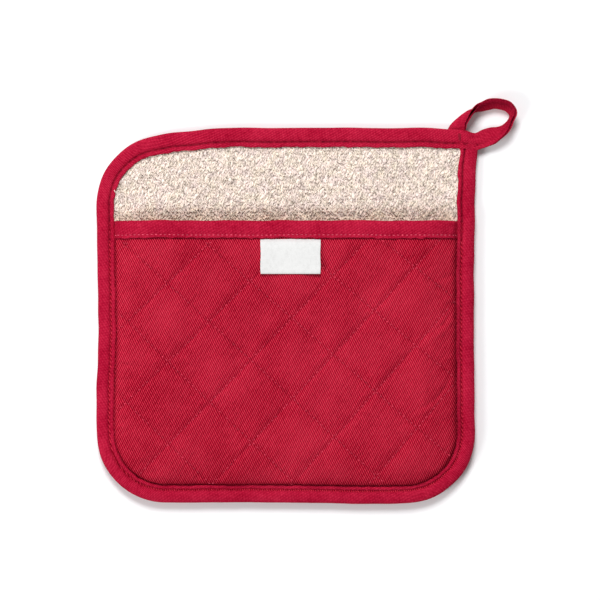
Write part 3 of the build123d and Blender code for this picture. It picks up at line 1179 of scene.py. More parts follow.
@dataclass
class Pocket(Panel):
    """The quilted pocket: twill front, wadding and lining, open at the mouth."""

    tucks: tuple = (
        (88, -45, 228, 15, 0.7), (95, -58, 210, 7, 0.5), (90, -5, 226, 11, 0.85), (93, 22, 200, 8, 0.45),
        (-93, -28, -6, 9, 0.6), (-92, -37, 4, 8, 0.45), (-94, -10, 16, 8, 0.5), (-68, 41.5, -84, 4.5, 0.75),
        (-60, 42, -100, 4, 0.65), (62, 42, -80, 4, 0.55), (-30, -88, 82, 6, 0.4))

    def hem_free(self, y: Array) -> Array:
        """1 below the hem, 0 under it."""
        return 1 - smoothstep(self.head - 13.5, self.head - 9.6, y)

    def build(self, finishes: Finishes) -> list[Object]:
        """Makes the pocket's plies and its quilting stitches.

        Args:
            finishes: the mitt's finishes.

        Returns:
            The pieces.
        """
        x, y = self.grid.points[:, 0], self.grid.points[:, 1]
        inset = self.grid.inset
        shown = self.fade(x, y) * self.hem_free(y)
        face = self.levels.pocket_face.height(inset)
        dome = face - self.lattice.dip(x, y, self.seam_depths) * shown - 0.3 * (1 - self.hem_free(y))
        start = np.stack([x, y, dome], 1)
        held = self.held() | (y > self.head - GRIP)
        top = Billow(excess=0.014, cap=0.9).swell(self.grid, start, held)
        top[:, 2] = np.where(held, start[:, 2], np.maximum(top[:, 2], start[:, 2] - 0.5))
        self.front = self.dressed("pocket_front", self.grid.ply(top, top - (0, 0, 0.75)), "red_twill_cloth",
                                  finishes)
        self.detail(self.front.data)
        lining = np.stack([x, y, self.levels.palm_face.height(inset)], 1)
        top[:, 2] += self.hem_free(y) * 0.55 * self.soft(x, y) * smoothstep(10.5, 20, inset)
        top[:, 2] += self.levels.pocket_face.swollen(inset - 2.0) - 0.5 * hump(inset, 10.8, 2.2)
        top[:, 2] += np.minimum(0, self.tucked(x, y)) * 1.2 - 1.3
        top[:, 2] = np.maximum(top[:, 2], lining[:, 2] + 0.8)
        pieces = [self.front]
        pieces.append(finishes.dress("pocket_wadding", self.grid.ply(top, lining + (0, 0, 0.75)),
                                     "white_wadding"))
        pieces.append(finishes.dress("pocket_lining_cloth", self.grid.ply(lining + (0, 0, 0.7), lining),
                                     "lining_cloth"))
        pieces.append(self.stitching(finishes))
        for made, node in zip(pieces, ("pocket_shell", "pocket_batting", "pocket_lining",
                                       "pocket_quilting_thread")):
            self.settled(made, node)
        return pieces

    def detail(self, mesh: Mesh) -> None:
        """Adds the pulled grooves and creases of the front, its paler crests and its painted shade lines.

        Args:
            mesh: the front's mesh.
        """
        points = read_points(mesh)
        x, y = points[:, 0], points[:, 1]
        free = self.hem_free(y)
        outer = read_values(mesh, "upper")
        inset = self.plan.inset(x, y)
        rim = 0.22 * np.sin(y / 2.3 + 2 * np.sin(y / 9)) * hump(inset, 12.5, 2.6)
        relief = self.pucker(x, y, 0.2) + rim + self.gathers(x, y) - 0.55 * hump(inset, 10.4, 0.5)
        points[:, 2] += outer * free * np.maximum(relief, -0.62)
        points[:, 2] += free * 0.55 * self.soft(x, y) * smoothstep(10.5, 20, inset)
        wavy = inset + 0.3 * self.beside(x, y)
        points[:, 2] += self.levels.pocket_face.swollen(wavy)
        points[:, 2] += self.tucked(x, y) * smoothstep(GRIP, 12.5, inset)
        write_points(mesh, points)
        write_values(mesh, "crest", self.crest(x, y) * outer * free)
        # Painted shade: dark lines under the hem's lip and in the crevice by the binding, and fainter ones
        # along the quilting seams.
        under = hump(y, self.head - 9.35, 0.55) + hump(inset, 10.45, 0.5)
        write_values(mesh, "seam", outer * np.minimum(1, 0.32 * self.sewn(x, y) * free + 0.75 * under))

    def tucked(self, x: Array, y: Array) -> Array:
        """Single folds that the sewing left: each a furrow with a ridge beside it.

        Args:
            x: the places' X.
            y: their Y.

        Returns:
            One height for each place.
        """
        height = np.zeros_like(x)
        for at_x, at_y, heading, length, depth in self.tucks:
            turn = math.radians(heading)
            along = (x - at_x) * math.cos(turn) + (y - at_y) * math.sin(turn)
            away = (y - at_y) * math.cos(turn) - (x - at_x) * math.sin(turn) + along**2 / 60
            height += depth * (0.8 * hump(away, 2.6, 1.9) - hump(away, 0.0, 1.2)) * hump(along, 0, length)
        return height

    def gathers(self, x: Array, y: Array) -> Array:
        """Creases that run in from the side bindings.

        Args:
            x: the places' X.
            y: their Y.

        Returns:
            One height for each place.
        """
        near = hump(self.plan.inset(x, y), 15.5, 6.0) * smoothstep(55, 80, np.abs(x))
        slanted = y + 0.30 * np.abs(x) + 1.5 * np.sin(y / 11.0)
        return 0.34 * np.sin(2 * np.pi * slanted / 7.4) * near * smoothstep(-0.3, 0.8, self.loose(x, y))

    def stitching(self, finishes: Finishes) -> Object:
        """The quilting thread on the front.

        Args:
            finishes: the mitt's finishes.

        Returns:
            The piece.
        """
        points = read_points(self.front.data)
        points = points[read_values(self.front.data, "upper") > 0.5]

        def below_hem(x: Array, y: Array) -> Array:
            """Where a stitch shows."""
            return (self.plan.inset(x, y) > 10.8) & (y < self.head - 9.9)

        matrices = self.stitches(points[:, 2], points[:, :2], 1, below_hem)
        return finishes.dress("pocket_quilting", scattered(stitch_shape(), matrices), "rose_quilting_thread")


@dataclass
class Back(Panel):
    """The quilted back: twill outside, wadding, and terry towards the hand."""

    mouth: float = 54.0
    sink: float = 2.0

    def __post_init__(self) -> None:
        """Makes the grid, and the waves of the pile."""
        super().__post_init__()
        self.nap = Ripples(23, 5, 22)

    def below(self, inset: Array, y: Array) -> Array:
        """How much the terry sinks towards the pocket's mouth."""
        return smoothstep(self.mouth + 11, self.mouth - 3, y) * smoothstep(9, 22, inset)

    def ground(self, x: Array, y: Array) -> Array:
        """The height of the terry's woven ground.

        Args:
            x: the places' X.
            y: their Y.

        Returns:
            One height for each place.
        """
        inset = self.plan.inset(x, y)
        dip = (1 - self.lattice.pillow(x, y, 0.7)) * self.fade(x, y)
        crisp = sum(hump(away, 0, 1.2) for away, _, _ in self.lattice.seams(x, y)) * self.fade(x, y)
        face = self.levels.terry_face.height(inset) - 0.85 - self.sink * self.below(inset, y)
        face = face - 0.4 * smoothstep(9.6, 8.2, inset)
        face = face - 1.0 * dip - 0.35 * crisp + 0.14 * self.nap(x, y) * smoothstep(9, 14, inset)
        return np.maximum(face, self.outside(x, y) + 1.85)

    def outside(self, x: Array, y: Array) -> Array:
        """The height of the cover's outer face before it billows."""
        rise = 0.9 * (1 - self.lattice.pillow(x, y)) * self.fade(x, y)
        return self.levels.back_face.height(self.plan.inset(x, y)) + rise

    def build(self, finishes: Finishes) -> list[Object]:
        """Makes the back's plies, its pile and its quilting stitches.

        Args:
            finishes: the mitt's finishes.

        Returns:
            The pieces.
        """
        x, y = self.grid.points[:, 0], self.grid.points[:, 1]
        start = np.stack([x, y, self.outside(x, y)], 1)
        under = Billow(pull=2.0, excess=0.02).swell(self.grid, start, self.held())
        under[:, 2] = np.maximum(under[:, 2], 0.12)
        cover = self.dressed("back_cover", self.grid.ply(under + (0, 0, 0.6), under), "red_twill_cloth",
                             finishes)
        self.detail(cover.data)
        terry = np.stack([x, y, self.ground(x, y)], 1)
        ground = self.dressed("terry_ground", self.grid.ply(terry, terry - (0, 0, 0.5)),
                              "terry_ground_cloth", finishes)
        wadding = finishes.dress("back_wadding", self.grid.ply(terry - (0, 0, 0.85), under + (0, 0, 0.9)),
                                 "white_wadding")
        pile = self.pile(finishes)
        pieces = [cover, ground, wadding, self.stitching(cover, finishes), pile]
        for made, node in zip(pieces, ("back_shell", "back_lining", "back_batting", "back_quilting_thread",
                                       None)):
            self.settled(made, node)
        return pieces

    def detail(self, mesh: Mesh) -> None:
        """Adds the pulled grooves and creases of the outside.

        Args:
            mesh: the cover's mesh.
        """
        points = read_points(mesh)
        x, y = points[:, 0], points[:, 1]
        outer = 1 - read_values(mesh, "upper")
        points[:, 2] -= outer * (self.pucker(x, y, 0.12) + 0.1 * self.soft(x, y))
        points[:, 2] = np.maximum(points[:, 2], 0.02)
        write_points(mesh, points)
        write_values(mesh, "crest", self.crest(x, y) * outer)
        # Painted shade along the quilting seams of the outside.
        write_values(mesh, "seam", 0.32 * self.sewn(x, y) * outer)

    def stitching(self, cover: Object, finishes: Finishes) -> Object:
        """The quilting thread on the outside.

        Args:
            cover: the cover, which the thread lies on.
            finishes: the mitt's finishes.

        Returns:
            The piece.
        """
        points = read_points(cover.data)
        points = points[read_values(cover.data, "upper") < 0.5]

        def inside(x: Array, y: Array) -> Array:
            """Where a stitch shows."""
            return self.plan.inset(x, y) > 10.8

        matrices = self.stitches(points[:, 2], points[:, :2], -1, inside)
        return finishes.dress("back_quilting", scattered(stitch_shape(), matrices), "rose_quilting_thread")

    def pile(self, finishes: Finishes) -> Object:
        """The terry's curls, where the pocket leaves them open to view.

        Args:
            finishes: the mitt's finishes.

        Returns:
            The piece.
        """
        draw = np.random.default_rng(7)
        pitch_x, pitch_y = 1.22, 1.85
        across = np.arange(-self.plan.half_x, self.plan.half_x, pitch_x)
        along = np.arange(self.mouth - 9, self.plan.half_y, pitch_y)
        x, y = (block.ravel() for block in np.meshgrid(across, along))
        x = x + draw.normal(0, 0.27, len(x))
        y = y + draw.normal(0, 0.32, len(y))
        over = 0.8 * hump(y, 69, 5) * (x < 0)
        keep = self.plan.inset(x, y) > 10.3 + 0.9 * smoothstep(88, 96, y) - over
        x, y = x[keep], y[keep]
        count = len(x)
        yaw = math.pi / 2 + 0.35 * self.nap(x, y) + draw.normal(0, 0.45, count)
        lean = draw.normal(0.1, 0.45, count)
        size = np.stack([draw.uniform(1.3, 2.1, count), draw.uniform(0.95, 1.3, count),
                         draw.uniform(1.1, 2.0, count)], 1)
        cos, sin = np.cos(yaw), np.sin(yaw)
        tip, tall = np.sin(lean), np.cos(lean)
        lifted = 1.3 * smoothstep(10.4, 9.8, self.plan.inset(x, y))
        matrices = framed(np.stack([cos, sin, np.zeros(count)], 1) * size[:, :1],
                          np.stack([-sin * tall, cos * tall, tip], 1) * size[:, 1:2],
                          np.stack([sin * tip, -cos * tip, tall], 1) * size[:, 2:],
                          np.stack([x, y, self.ground(x, y) - 0.05 + lifted], 1))
        log.info("terry pile: %d curls", count)
        return finishes.dress("terry_pile", scattered(pile_shape(), matrices), "terry_pile_yarn")


# ------------------------------------------------------------------ tapes
@dataclass
class Track:
    """The run of a folded tape: rows of x, y, z, heading, roll, width, half thickness and cupping."""

    rows: Array

    def __post_init__(self) -> None:
        """Measures the way along it."""
        steps = np.linalg.norm(np.diff(self.rows[:, :3], axis=0), axis=1)
        self.along = np.concatenate([[0], np.cumsum(steps)])

    @property
    def length(self) -> float:
        """The whole way along it."""
        return float(self.along[-1])

    def at(self, way: Array) -> Array:
        """The rows at ways along it."""
        return np.stack([np.interp(way, self.along, column) for column in self.rows.T], 1)

    def frames(self, way: Array) -> tuple[Array, Array, Array, Array]:
        """The rows and directions of places along it.

        Args:
            way: the ways along it.

        Returns:
            The rows, and the directions ahead, across to the fold and out of the upper face.
        """
        rows = self.at(way)
        heading, roll = np.radians(rows[:, HEADING]), np.radians(rows[:, ROLL])
        zero = np.zeros_like(heading)
        left = np.stack([-np.sin(heading), np.cos(heading), zero], 1)
        up = np.stack([zero, zero, zero + 1], 1)
        across = left * np.cos(roll)[:, None] - up * np.sin(roll)[:, None]
        out = up * np.cos(roll)[:, None] + left * np.sin(roll)[:, None]
        return rows, np.cross(across, out), across, out


@dataclass
class FoldedTape:
    """A bias tape folded over an edge, its raw edges turned in, with a row of stitches near its lips."""

    track: Track
    seam: float = 2.65
    groove: float = 1.5
    pitch: float = 4.4
    needle: float = 0.75
    ply: float = 0.34
    step: float = 1.05
    slack: float = 0.13
    shade: float = 0.8
    reach: float = 0.37
    seed: int = 3
    bead: tuple[float, float] = (0.25, 0.22)
    crown: list = field(default_factory=lambda: [
        (0.0, 0.0, 0.0), (0.1, 0.26, 0.0), (0.35, 0.47, 0.0), (0.85, 0.68, 0.0), (1.6, 0.83, 0.0),
        (2.6, 0.93, 0.0), (3.8, 0.985, 0.0), (5.0, 1.0, 0.0)])

    @property
    def row(self) -> float:
        """How far in from the fold the stitches run, in the section."""
        return SECTION - self.seam

    def section(self) -> tuple[Array, Array, Array]:
        """The section from one raw edge round the fold to the other.

        Returns:
            The way in from the fold, the share of the half thickness, and the drop.
        """
        row = self.row
        lips = [(row - 1.0, 1.0, 0.08), (row - 0.6, 1.0, 0.5), (row - 0.3, 1.0, 0.9), (row, 1.0, 1.0),
                (row + 0.25, 1.0, 0.92), (row + 0.5, 1.0, 0.5)]
        upper = self.crown + [(u, share, drop * self.groove) for u, share, drop in lips]
        crest = (row + 0.85 + 9.55) / 2
        upper += [(min(row + 0.9, crest - 0.1), 1.0, 0.0), (crest, 1.0, -0.2), (9.6, 1.0, 0.0),
                  (9.88, 1.0, 0.28), (9.95, 1.0, 0.46), (9.8, 1.0, 0.64), (9.3, 1.0, 0.78),
                  (row, 1.0, self.groove + 0.4), (row - 2.0, 1.0, 0.86), (3.2, 1.0, 0.8)]
        upper = np.array(upper)
        lower = upper[:0:-1] * (1, -1, -1)
        both = np.concatenate([lower, upper])
        return both[:, 0], both[:, 1], both[:, 2]

    def mesh(self, first: float, last: float) -> Mesh:
        """The tape between two ways along its track.

        Args:
            first: where it starts.
            last: where it ends.

        Returns:
            A closed mesh in metres, with the UV map "Tape" in metres.
        """
        inward, share, fall = self.section()
        rows = max(2, round((last - first) / self.step))
        sheet = bmesh.new()
        bmesh.ops.create_grid(sheet, x_segments=len(inward) - 1, y_segments=rows, size=1)
        unit = np.array([vert.co for vert in sheet.verts])
        number = np.rint((unit[:, 0] + 1) / 2 * (len(inward) - 1)).astype(int)
        way = first + (last - first) * (unit[:, 1] + 1) / 2
        points, run = self.shaped(number, way)
        mesh = shape_sheet(sheet, points, run[number], way, "tape")
        u = inward[number]
        write_values(mesh, "crest", 0.9 * hump(u, 0, 0.9) + 0.6 * hump(u, 9.3, 0.45))
        uneven = 0.75 + 0.25 * Ripples(self.seed + 5, 3, 12)(way, 0 * way)
        rows = self.track.at(way)
        stitched = np.interp(rows[:, HALF], (1.0, 1.4), (0.12, 1.0))
        # Painted shade in the stitch groove, and on the inner band of the loop where it is cupped.
        groove = self.shade * uneven * hump(u, self.row, 0.5) * stitched
        inside = 0.5 * smoothstep(12, 42, rows[:, CUP]) * smoothstep(4.5, 8.5, u) * (share[number] > 0)
        write_values(mesh, "seam", groove + inside)
        return walled(mesh, self.ply)

    def shaped(self, number: Array, way: Array) -> tuple[Array, Array]:
        """Points of the tape, by their number round the section and their way along the track.

        Args:
            number: which point of the section each is.
            way: the way along the track.

        Returns:
            The points, and the way round the section of each of its points.
        """
        inward, share, fall = self.section()
        rows, _, across, out = self.track.frames(way)
        width, half = rows[:, WIDTH], rows[:, HALF]
        u, s, d = inward[number], share[number], fall[number]
        face = np.sign(s)
        row = self.row
        phase = (way / self.pitch) % 1 - 0.5
        needle = hump(phase, 0, 0.17) * hump(u, row, 0.6)
        beside = hump(u, row - 1.6, 0.9) + 0.8 * hump(u, row + 1.5, 0.6)
        pulled = 0.10 * np.cos(2 * np.pi * way / self.pitch) * beside
        waves = Ripples(self.seed, 7, 34)
        swell = self.slack * waves(way, 9.0 * face) * hump(u, 3.6, 3.0)
        thin = self.thinned(half)
        lift = s * half - thin * (d + face * (self.needle * needle - pulled - swell))
        sway = Ripples(self.seed + 1, 9, 46)(way, 0 * way)
        lip = Ripples(self.seed + 2, 4, 15)(way, 5.0 * face)
        aside = width / 2 - u * width / SECTION + 0.14 * sway - 0.22 * lip * smoothstep(6.6, 9.6, u)
        points = rows[:, :3] + self.cupped(rows, across, out, aside, lift)
        flat = np.stack([inward, share * 2.4 - fall], 1)
        run = np.concatenate([[0], np.cumsum(np.linalg.norm(np.diff(flat, axis=0), axis=1))])
        return points, run

    def thinned(self, half: Array) -> Array:
        """How much of the seam's depth there is room for, by the tape's half thickness."""
        return np.interp(half, (1.0, 1.4, 2.1, 3.1), (0.1, 0.4, 0.66, 1.0))

    def cupped(self, rows: Array, across: Array, out: Array, aside: Array, lift: Array) -> Array:
        """Steps from the track's middle, bent where the tape is cupped.

        Args:
            rows: the track's rows.
            across: directions to the fold.
            out: directions out of the upper face.
            aside: how far towards the fold.
            lift: how far out of the upper face.

        Returns:
            One step for each row.
        """
        bend = np.radians(np.maximum(rows[:, CUP], 0.01)) / rows[:, WIDTH]
        turn = aside * bend
        sideways = (1 / bend + lift) * np.sin(turn)
        outward = (1 / bend + lift) * np.cos(turn) - 1 / bend
        return across * sideways[:, None] + out * outward[:, None]

    def stitches(self, first: float, last: float, faces: tuple = (1, -1)) -> Array:
        """Matrices for the stitches between two ways along the track.

        Args:
            first: where they start.
            last: where they end.
            faces: 1 for the upper face, -1 for the lower.

        Returns:
            One 4 by 4 matrix for each stitch, in millimetres.
        """
        number = np.arange(math.ceil(first / self.pitch), math.floor(last / self.pitch))
        way = number * self.pitch
        draw = np.random.default_rng(self.seed)
        rows, ahead, across, out = self.track.frames(way)
        every = []
        for face in faces:
            thin = self.thinned(rows[:, HALF])
            lift = face * (rows[:, HALF] - thin * self.groove + 0.14)
            aside = rows[:, WIDTH] * (0.5 - self.row / SECTION) + draw.normal(0, 0.05, len(way))
            slant = draw.normal(0.06, 0.05, len(way))[:, None]
            length = draw.uniform(0.92, 1.08, len(way))[:, None] * self.pitch * self.reach
            at = rows[:, :3] + self.cupped(rows, across, out, aside, lift)
            every.append(framed((ahead + across * slant) * length, (across - ahead * slant) * self.bead[0],
                                out * self.bead[1], at))
        return np.concatenate(every)


@dataclass
class Binding:
    """The tape round the mitt's edge, and the loop that its tail makes."""

    plan: Plan
    levels: Levels
    mouth: float
    width: float = 10.0
    head_width: float = 11.0
    start_y: float = 103.4
    span: float = 20.0
    course: tuple = (
        (-0.300, -0.330, 0.015, 0, 0, 11.2, 2.40, 0), (0.025, -0.380, 0.000, 6, 0, 9.7, 1.40, 0),
        (0.300, -0.275, 0.000, 20, 5, 9.9, 1.00, 0), (0.515, -0.195, 0.000, 23, 22, 10, 0.85, 0),
        (0.700, -0.115, 0.025, 28, 47, 10, 0.80, 10), (0.880, 0.005, 0.050, 44, 64, 10, 0.80, 15),
        (1.020, 0.215, 0.065, 68, 80, 10, 0.80, 15), (1.080, 0.375, 0.060, 93, 76, 10, 0.80, 20),
        (1.035, 0.490, 0.058, 125, 67, 10, 0.80, 30), (0.915, 0.595, 0.058, 160, 62, 10, 0.80, 45),
        (0.620, 0.655, 0.058, 181, 62, 10, 0.80, 55), (0.405, 0.625, 0.058, 194, 60, 10, 0.85, 55),
        (0.185, 0.555, 0.060, 206, 70, 10, 1.00, 50), (-0.050, 0.475, 0.065, 216, 97, 10, 1.10, 35),
        (-0.235, 0.335, 0.055, 226, 113, 10, 0.90, 10), (-0.370, 0.195, 0.030, 238, 125, 10, 0.80, 0),
        (-0.450, 0.065, -0.020, 246, 142, 10, 0.80, 0), (-0.505, -0.060, -0.100, 254, 166, 9.8, 0.75, 0),
        (-0.540, -0.200, -0.145, 260, 180, 9.6, 0.70, 0), (-0.570, -0.450, -0.145, 262, 180, 9.6, 0.70, 0))

    def edge(self) -> Array:
        """The track round the mitt's edge, from the loop's corner clockwise back to it.

        Returns:
            The track's rows.
        """
        plan = self.plan
        turns = ((1, -1, plan.foot_radius), (-1, -1, plan.foot_radius), (-1, 1, plan.head_radius))
        heading, here = -90.0, np.array([plan.half_x, self.start_y])
        rows = []
        for side, end, radius in turns:
            centre = np.array([side * (plan.half_x - radius), end * (plan.half_y - radius)])
            for k, turn in enumerate(np.linspace(heading, heading - 90, 64)):
                angle = math.radians(turn)
                there = centre + radius * np.array([-math.sin(angle), math.cos(angle)])
                if k == 0:
                    straight = np.linspace(0, 1, int(np.linalg.norm(there - here)))[:-1]
                    rows += [(*(here + (there - here) * share), turn) for share in straight]
                rows.append((*there, turn))
                here = there
            heading -= 90
        finish = np.array([plan.half_x - 11.5, plan.half_y])
        rows += [(*(here + (finish - here) * share), heading) for share in np.linspace(0, 1, 120)[1:]]
        rows = np.array(rows)
        move_x, move_y = plan.drift(rows[:, 0], rows[:, 1])
        turn = np.radians(rows[:, 2])
        width = self.width + (self.head_width - self.width) * smoothstep(-290, -352, rows[:, 2])
        x = rows[:, 0] + move_x + np.sin(turn) * width / 2
        y = rows[:, 1] + move_y - np.cos(turn) * width / 2
        ramp = smoothstep(self.mouth - 1, self.mouth + 9, rows[:, 1])
        top = self.levels.pocket_top + (self.levels.head_top - self.levels.pocket_top) * ramp
        lapped = smoothstep(94, 98, rows[:, 1]) * (rows[:, 0] > plan.half_x - 5)
        half = (top - self.levels.binding_low) / 2 - 0.45 * lapped
        middle = (top + self.levels.binding_low) / 2
        return np.stack([x, y, middle, rows[:, 2], 0 * x, width, half, 0 * x], 1)

    def tail(self) -> Array:
        """The loop's course, past the mitt's edge.

        Returns:
            The track's rows.
        """
        corner = (self.plan.half_x, self.plan.half_y, (self.levels.binding_low + self.levels.head_top) / 2)
        return np.array([
            (*(here + self.span * share for here, share in zip(corner, row[:3])), row[3] - 360, *row[4:])
            for row in self.course])

    def track(self) -> tuple[Track, float]:
        """The whole track, round the edge and along the loop.

        Returns:
            The track, and the way along it where the loop's course starts.
        """
        edge, tail = self.edge(), self.tail()
        knots = np.concatenate([edge[[-20, -1]], tail, tail[-1:] * 2 - tail[-2:-1]])
        smooth = []
        for before, here, there, after in zip(knots, knots[1:], knots[2:], knots[3:]):
            t = np.linspace(0, 1, 14)[1:, None]
            tangent, leaving = (there - before) / 2, (after - here) / 2
            smooth.append((2 * t**3 - 3 * t**2 + 1) * here + (t**3 - 2 * t**2 + t) * tangent
                          + (3 * t**2 - 2 * t**3) * there + (t**3 - t**2) * leaving)
        whole = Track(np.concatenate([edge, *smooth]))
        return whole, float(whole.along[len(edge) - 1])

    def build(self, finishes: Finishes) -> list[Object]:
        """Makes the tape, the loop and their stitches.

        Args:
            finishes: the mitt's finishes.

        Returns:
            The pieces.
        """
        track, split = self.track()
        tape = FoldedTape(track)
        edge = finishes.dress("edge_tape", tape.mesh(0, track.length), "red_tape_cloth")
        bead = stitch_shape()
        rows = finishes.dress("edge_stitches", scattered(bead, tape.stitches(6, split + 4)),
                              "red_sewing_thread")
        tack = finishes.dress("loop_tack", scattered(bead, self.tack()), "red_sewing_thread")
        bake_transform(edge)
        for made in (rows, tack):
            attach(made, "mitt")
        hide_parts("edge_binding", "hanging_loop", "loop_sewn_ends")
        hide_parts("binding_thread")
        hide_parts("loop_bartack")
        return [edge, rows, tack]

    def tack(self) -> Array:
        """The close stitches that hold the loop's tucked end.

        Returns:
            One 4 by 4 matrix for each stitch, in millimetres.
        """
        low, high = box_mm("loop_bartack")
        draw = np.random.default_rng(9)
        count = 13
        x = high[0] - 1.7 + draw.normal(0, 0.1, count)
        y = np.linspace(low[1] - 1.4, low[1] + 2.2, count)
        turn = np.where(np.arange(count) % 2, 0.16, -0.16)
        height = low[2] + 0.35
        return placed(np.stack([x, y, 0 * x + height], 1), turn, (1.1, 0.17, 0.18))


@dataclass
class Hem:
    """The straight folded tape along the pocket's mouth."""

    plan: Plan
    levels: Levels
    lattice: Lattice
    mouth: float
    reach: float = 101.0
    width: float = 10.0

    def build(self, finishes: Finishes) -> list[Object]:
        """Makes the hem and its stitches.

        Args:
            finishes: the mitt's finishes.

        Returns:
            The pieces.
        """
        x = np.linspace(-self.reach, self.reach, 240)
        inset = self.plan.inset(x, 0 * x)
        top = self.crown(inset) + self.levels.tape
        top = top - 1.1 * smoothstep(self.reach - 5.5, self.reach - 2.2, np.abs(x))
        low = self.levels.palm_face.height(inset) - self.levels.tape
        middle_y = self.mouth - self.width / 2 + 0.12 * np.sin(x / 15.0) + 0.1 * np.sin(x / 6.1 + 1)
        flat, width = np.zeros_like(x), np.full_like(x, self.width)
        rows = np.stack([x, middle_y, (top + low) / 2, flat, flat, width, (top - low) / 2, flat], 1)
        tape = FoldedTape(Track(rows), seam=1.8, groove=0.36, pitch=2.5, needle=0.12, seed=31, slack=0.1,
                          shade=0.15, reach=0.27)
        mesh = tape.mesh(0, tape.track.length)
        self.print_through(mesh)
        hem = finishes.dress("hem_tape", mesh, "red_tape_cloth")
        stitches = tape.stitches(2, tape.track.length - 2)
        row = finishes.dress("hem_stitches", scattered(stitch_shape(), stitches), "pink_hem_thread")
        for made, node in ((hem, "pocket_hem_binding"), (row, "hem_thread")):
            write_points(made.data, self.plan.settle(read_points(made.data)))
            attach(made, "mitt")
            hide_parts(node)
        return [hem, row]

    def crown(self, inset: Array) -> Array:
        """The height of the pocket's face under the hem."""
        return self.levels.pocket_face.height(inset) + self.levels.pocket_face.swollen(inset)

    def print_through(self, mesh: Mesh) -> None:
        """Lets the pocket's quilting show faintly through the hem.

        Args:
            mesh: the hem's mesh.
        """
        points = read_points(mesh)
        x, y = points[:, 0], points[:, 1]
        front = smoothstep(-2.5, -0.5, points[:, 2] - self.crown(self.plan.inset(x, 0 * x)))
        near = smoothstep(self.mouth - 1.5, self.mouth - 5, y)
        for away, _, _ in self.lattice.seams(x, y):
            points[:, 2] -= 0.24 * hump(away, 0, 1.3) * front * near
        write_points(mesh, points)


@dataclass
class Label:
    """A plain woven label, folded at its foot and caught under the hem."""

    pocket: Pocket
    tucked: float = 1.1
    press: float = 1.1
    ply: float = 0.2

    def build(self, finishes: Finishes) -> list[Object]:
        """Makes the label.

        Args:
            finishes: the mitt's finishes.

        Returns:
            The piece.
        """
        low, high = box_mm("label")
        length = high[1] - low[1] + self.tucked
        sheet = bmesh.new()
        bmesh.ops.create_grid(sheet, x_segments=34, y_segments=64, size=1)
        unit = np.array([vert.co for vert in sheet.verts])
        side, way = unit[:, 0], unit[:, 1]
        gap = (high[2] - low[2]) / 2 - self.ply / 2
        down = length * (1 - np.abs(way))
        turn = np.clip(np.abs(way) / 0.02, 0, 1)
        x = (low[0] + high[0]) / 2 + side * (high[0] - low[0]) / 2
        y = high[1] + self.tucked - down
        z = self.bed(y, low, high) + gap + self.ply / 2 + np.sign(way) * gap * np.sin(turn * np.pi / 2)
        free = smoothstep(2, length, down)
        z += free * (0.2 + 0.3 * side**2 + 0.12 * np.sin(side * 5 + 0.6))
        z -= self.press * smoothstep(high[1] - 2.2, high[1] - 0.1, y)
        x += 0.12 * np.sin(down / 2.1) * side**3
        mesh = shape_sheet(sheet, np.stack([x, y, z], 1), x, (way + 1) * length, "label")
        made = finishes.dress("woven_label", walled(mesh, self.ply, 0.05), "label_cloth")
        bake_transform(made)
        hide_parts("label")
        return [made]

    def bed(self, y: Array, low: Array, high: Array) -> Array:
        """The height on which the label lies: the pocket's highest cloth right across it.

        Args:
            y: how far up the pocket.
            low: the label's lowest corner.
            high: its highest corner.

        Returns:
            One height for each place.
        """
        cloth = read_points(self.pocket.front.data)
        cloth = cloth[(cloth[:, 0] > low[0]) & (cloth[:, 0] < high[0]) & (cloth[:, 2] > high[2] - 4)]
        rows = np.arange(low[1] - 3, high[1] + 3, 0.8)
        highest = np.array([cloth[np.abs(cloth[:, 1] - row) < 0.9, 2].max() for row in rows])
        soft = np.convolve(np.pad(highest, 4, "edge"), np.full(9, 1 / 9), "valid")
        return np.interp(y, rows, np.maximum(soft, highest - 0.05))


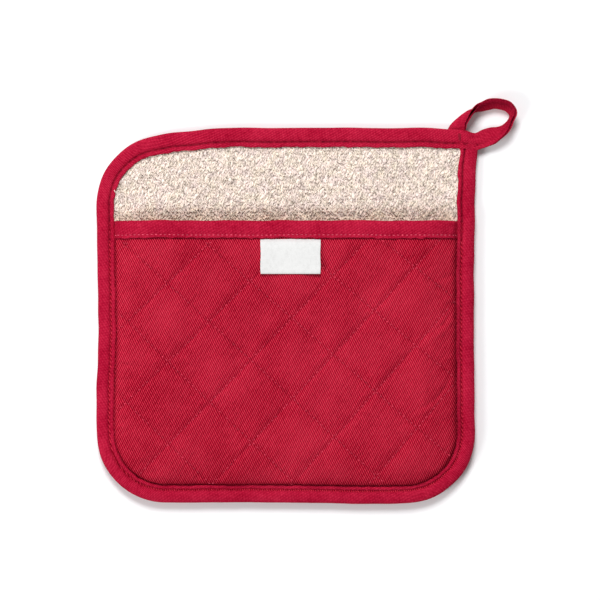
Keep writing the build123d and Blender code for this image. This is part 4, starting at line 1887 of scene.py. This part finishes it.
# ------------------------------------------------------------------ studio
@dataclass
class Studio:
    """The pale floor, the soft lights and the camera straight above."""

    centre: tuple[float, float] = (8.0, 8.9)
    view: float = 345.0
    height: float = 1.5
    drop: float = 0.12

    def build(self) -> None:
        """Sets the stage."""
        self.floor()
        self.lights()
        self.camera()

    def floor(self) -> None:
        """A wide, plain pale floor just under the mitt."""
        plate = bmesh.new()
        bmesh.ops.create_grid(plate, x_segments=2, y_segments=2, size=4)
        r = Recipe("floor_paper")
        soft = r.noise(r.place(Source.PLACE), 400.0, 1.0)
        colour = r.mix(soft, (0.90, 0.905, 0.915, 1), (0.91, 0.915, 0.925, 1))
        finish = r.finish(colour, 0.9, r.bump(soft, 0.01, 0.01), 0.0, 0.1)
        made = piece("floor", meshed(plate, "floor"), finish)
        made.location.z = -self.drop * MM

    def lights(self) -> None:
        """A large key light from the head's left, a weaker one from the left, and a bright room."""
        for name, where, size, power in (
            ("key", (-0.12, 1.22, 1.57), 0.85, 35.0),
            ("side", (-1.22, -0.84, 1.15), 0.8, 17.5),
        ):
            lamp = bpy.data.lights.new(name, "AREA")
            lamp.shape, lamp.size, lamp.energy = "DISK", size, power
            made = bpy.data.objects.new(name, lamp)
            made.location = where
            made.rotation_euler = (-Vector(where)).to_track_quat("-Z", "Y").to_euler()
            bpy.context.scene.collection.objects.link(made)
        world = bpy.data.worlds.new("room")
        world.use_nodes = True
        back = world.node_tree.nodes["Background"]
        back.inputs["Color"].default_value = (1.0, 1.0, 1.0, 1)
        back.inputs["Strength"].default_value = 0.325
        bpy.context.scene.view_settings.view_transform = "Standard"
        bpy.context.scene.world = world

    def camera(self) -> None:
        """The camera, looking straight down with the mitt's head up."""
        data = bpy.data.cameras.new("camera")
        data.sensor_width = 36.0
        data.lens = data.sensor_width * self.height / (self.view * MM)
        made = bpy.data.objects.new("camera", data)
        made.location = (self.centre[0] * MM, self.centre[1] * MM, self.height)
        bpy.context.scene.collection.objects.link(made)
        bpy.context.scene.camera = made


def main() -> None:
    """Builds the mitt from the inside out, then the stage."""
    logging.basicConfig(level=logging.INFO, format="%(message)s")
    high = box_mm("edge_binding")[1]
    plan = Plan(high[0], high[1])
    levels = Levels()
    mouth = box_mm("pocket_hem_binding")[1][1]
    finishes = Finishes(mouth)
    pocket_seams = Lattice((-20.0, -25.3), (23.8, -21.9), (23.3, 24.0), 1.05)
    back_seams = Lattice((-19.5, 83.7), (24.8, -20.9), (23.8, 21.0), 0.0, 9)
    pocket = Pocket(plan, levels, pocket_seams, head=mouth - 0.9, cells=19)
    for assembly in (
        Back(plan, levels, back_seams, head=plan.half_y + 5, mouth=mouth),
        pocket,
        Binding(plan, levels, mouth),
        Hem(plan, levels, pocket_seams, mouth),
        Label(pocket),
    ):
        for made in assembly.build(finishes):
            log.info("%s: %d faces", made.name, len(made.data.polygons))
    Studio().build()


if __name__ == "__main__":
    main()
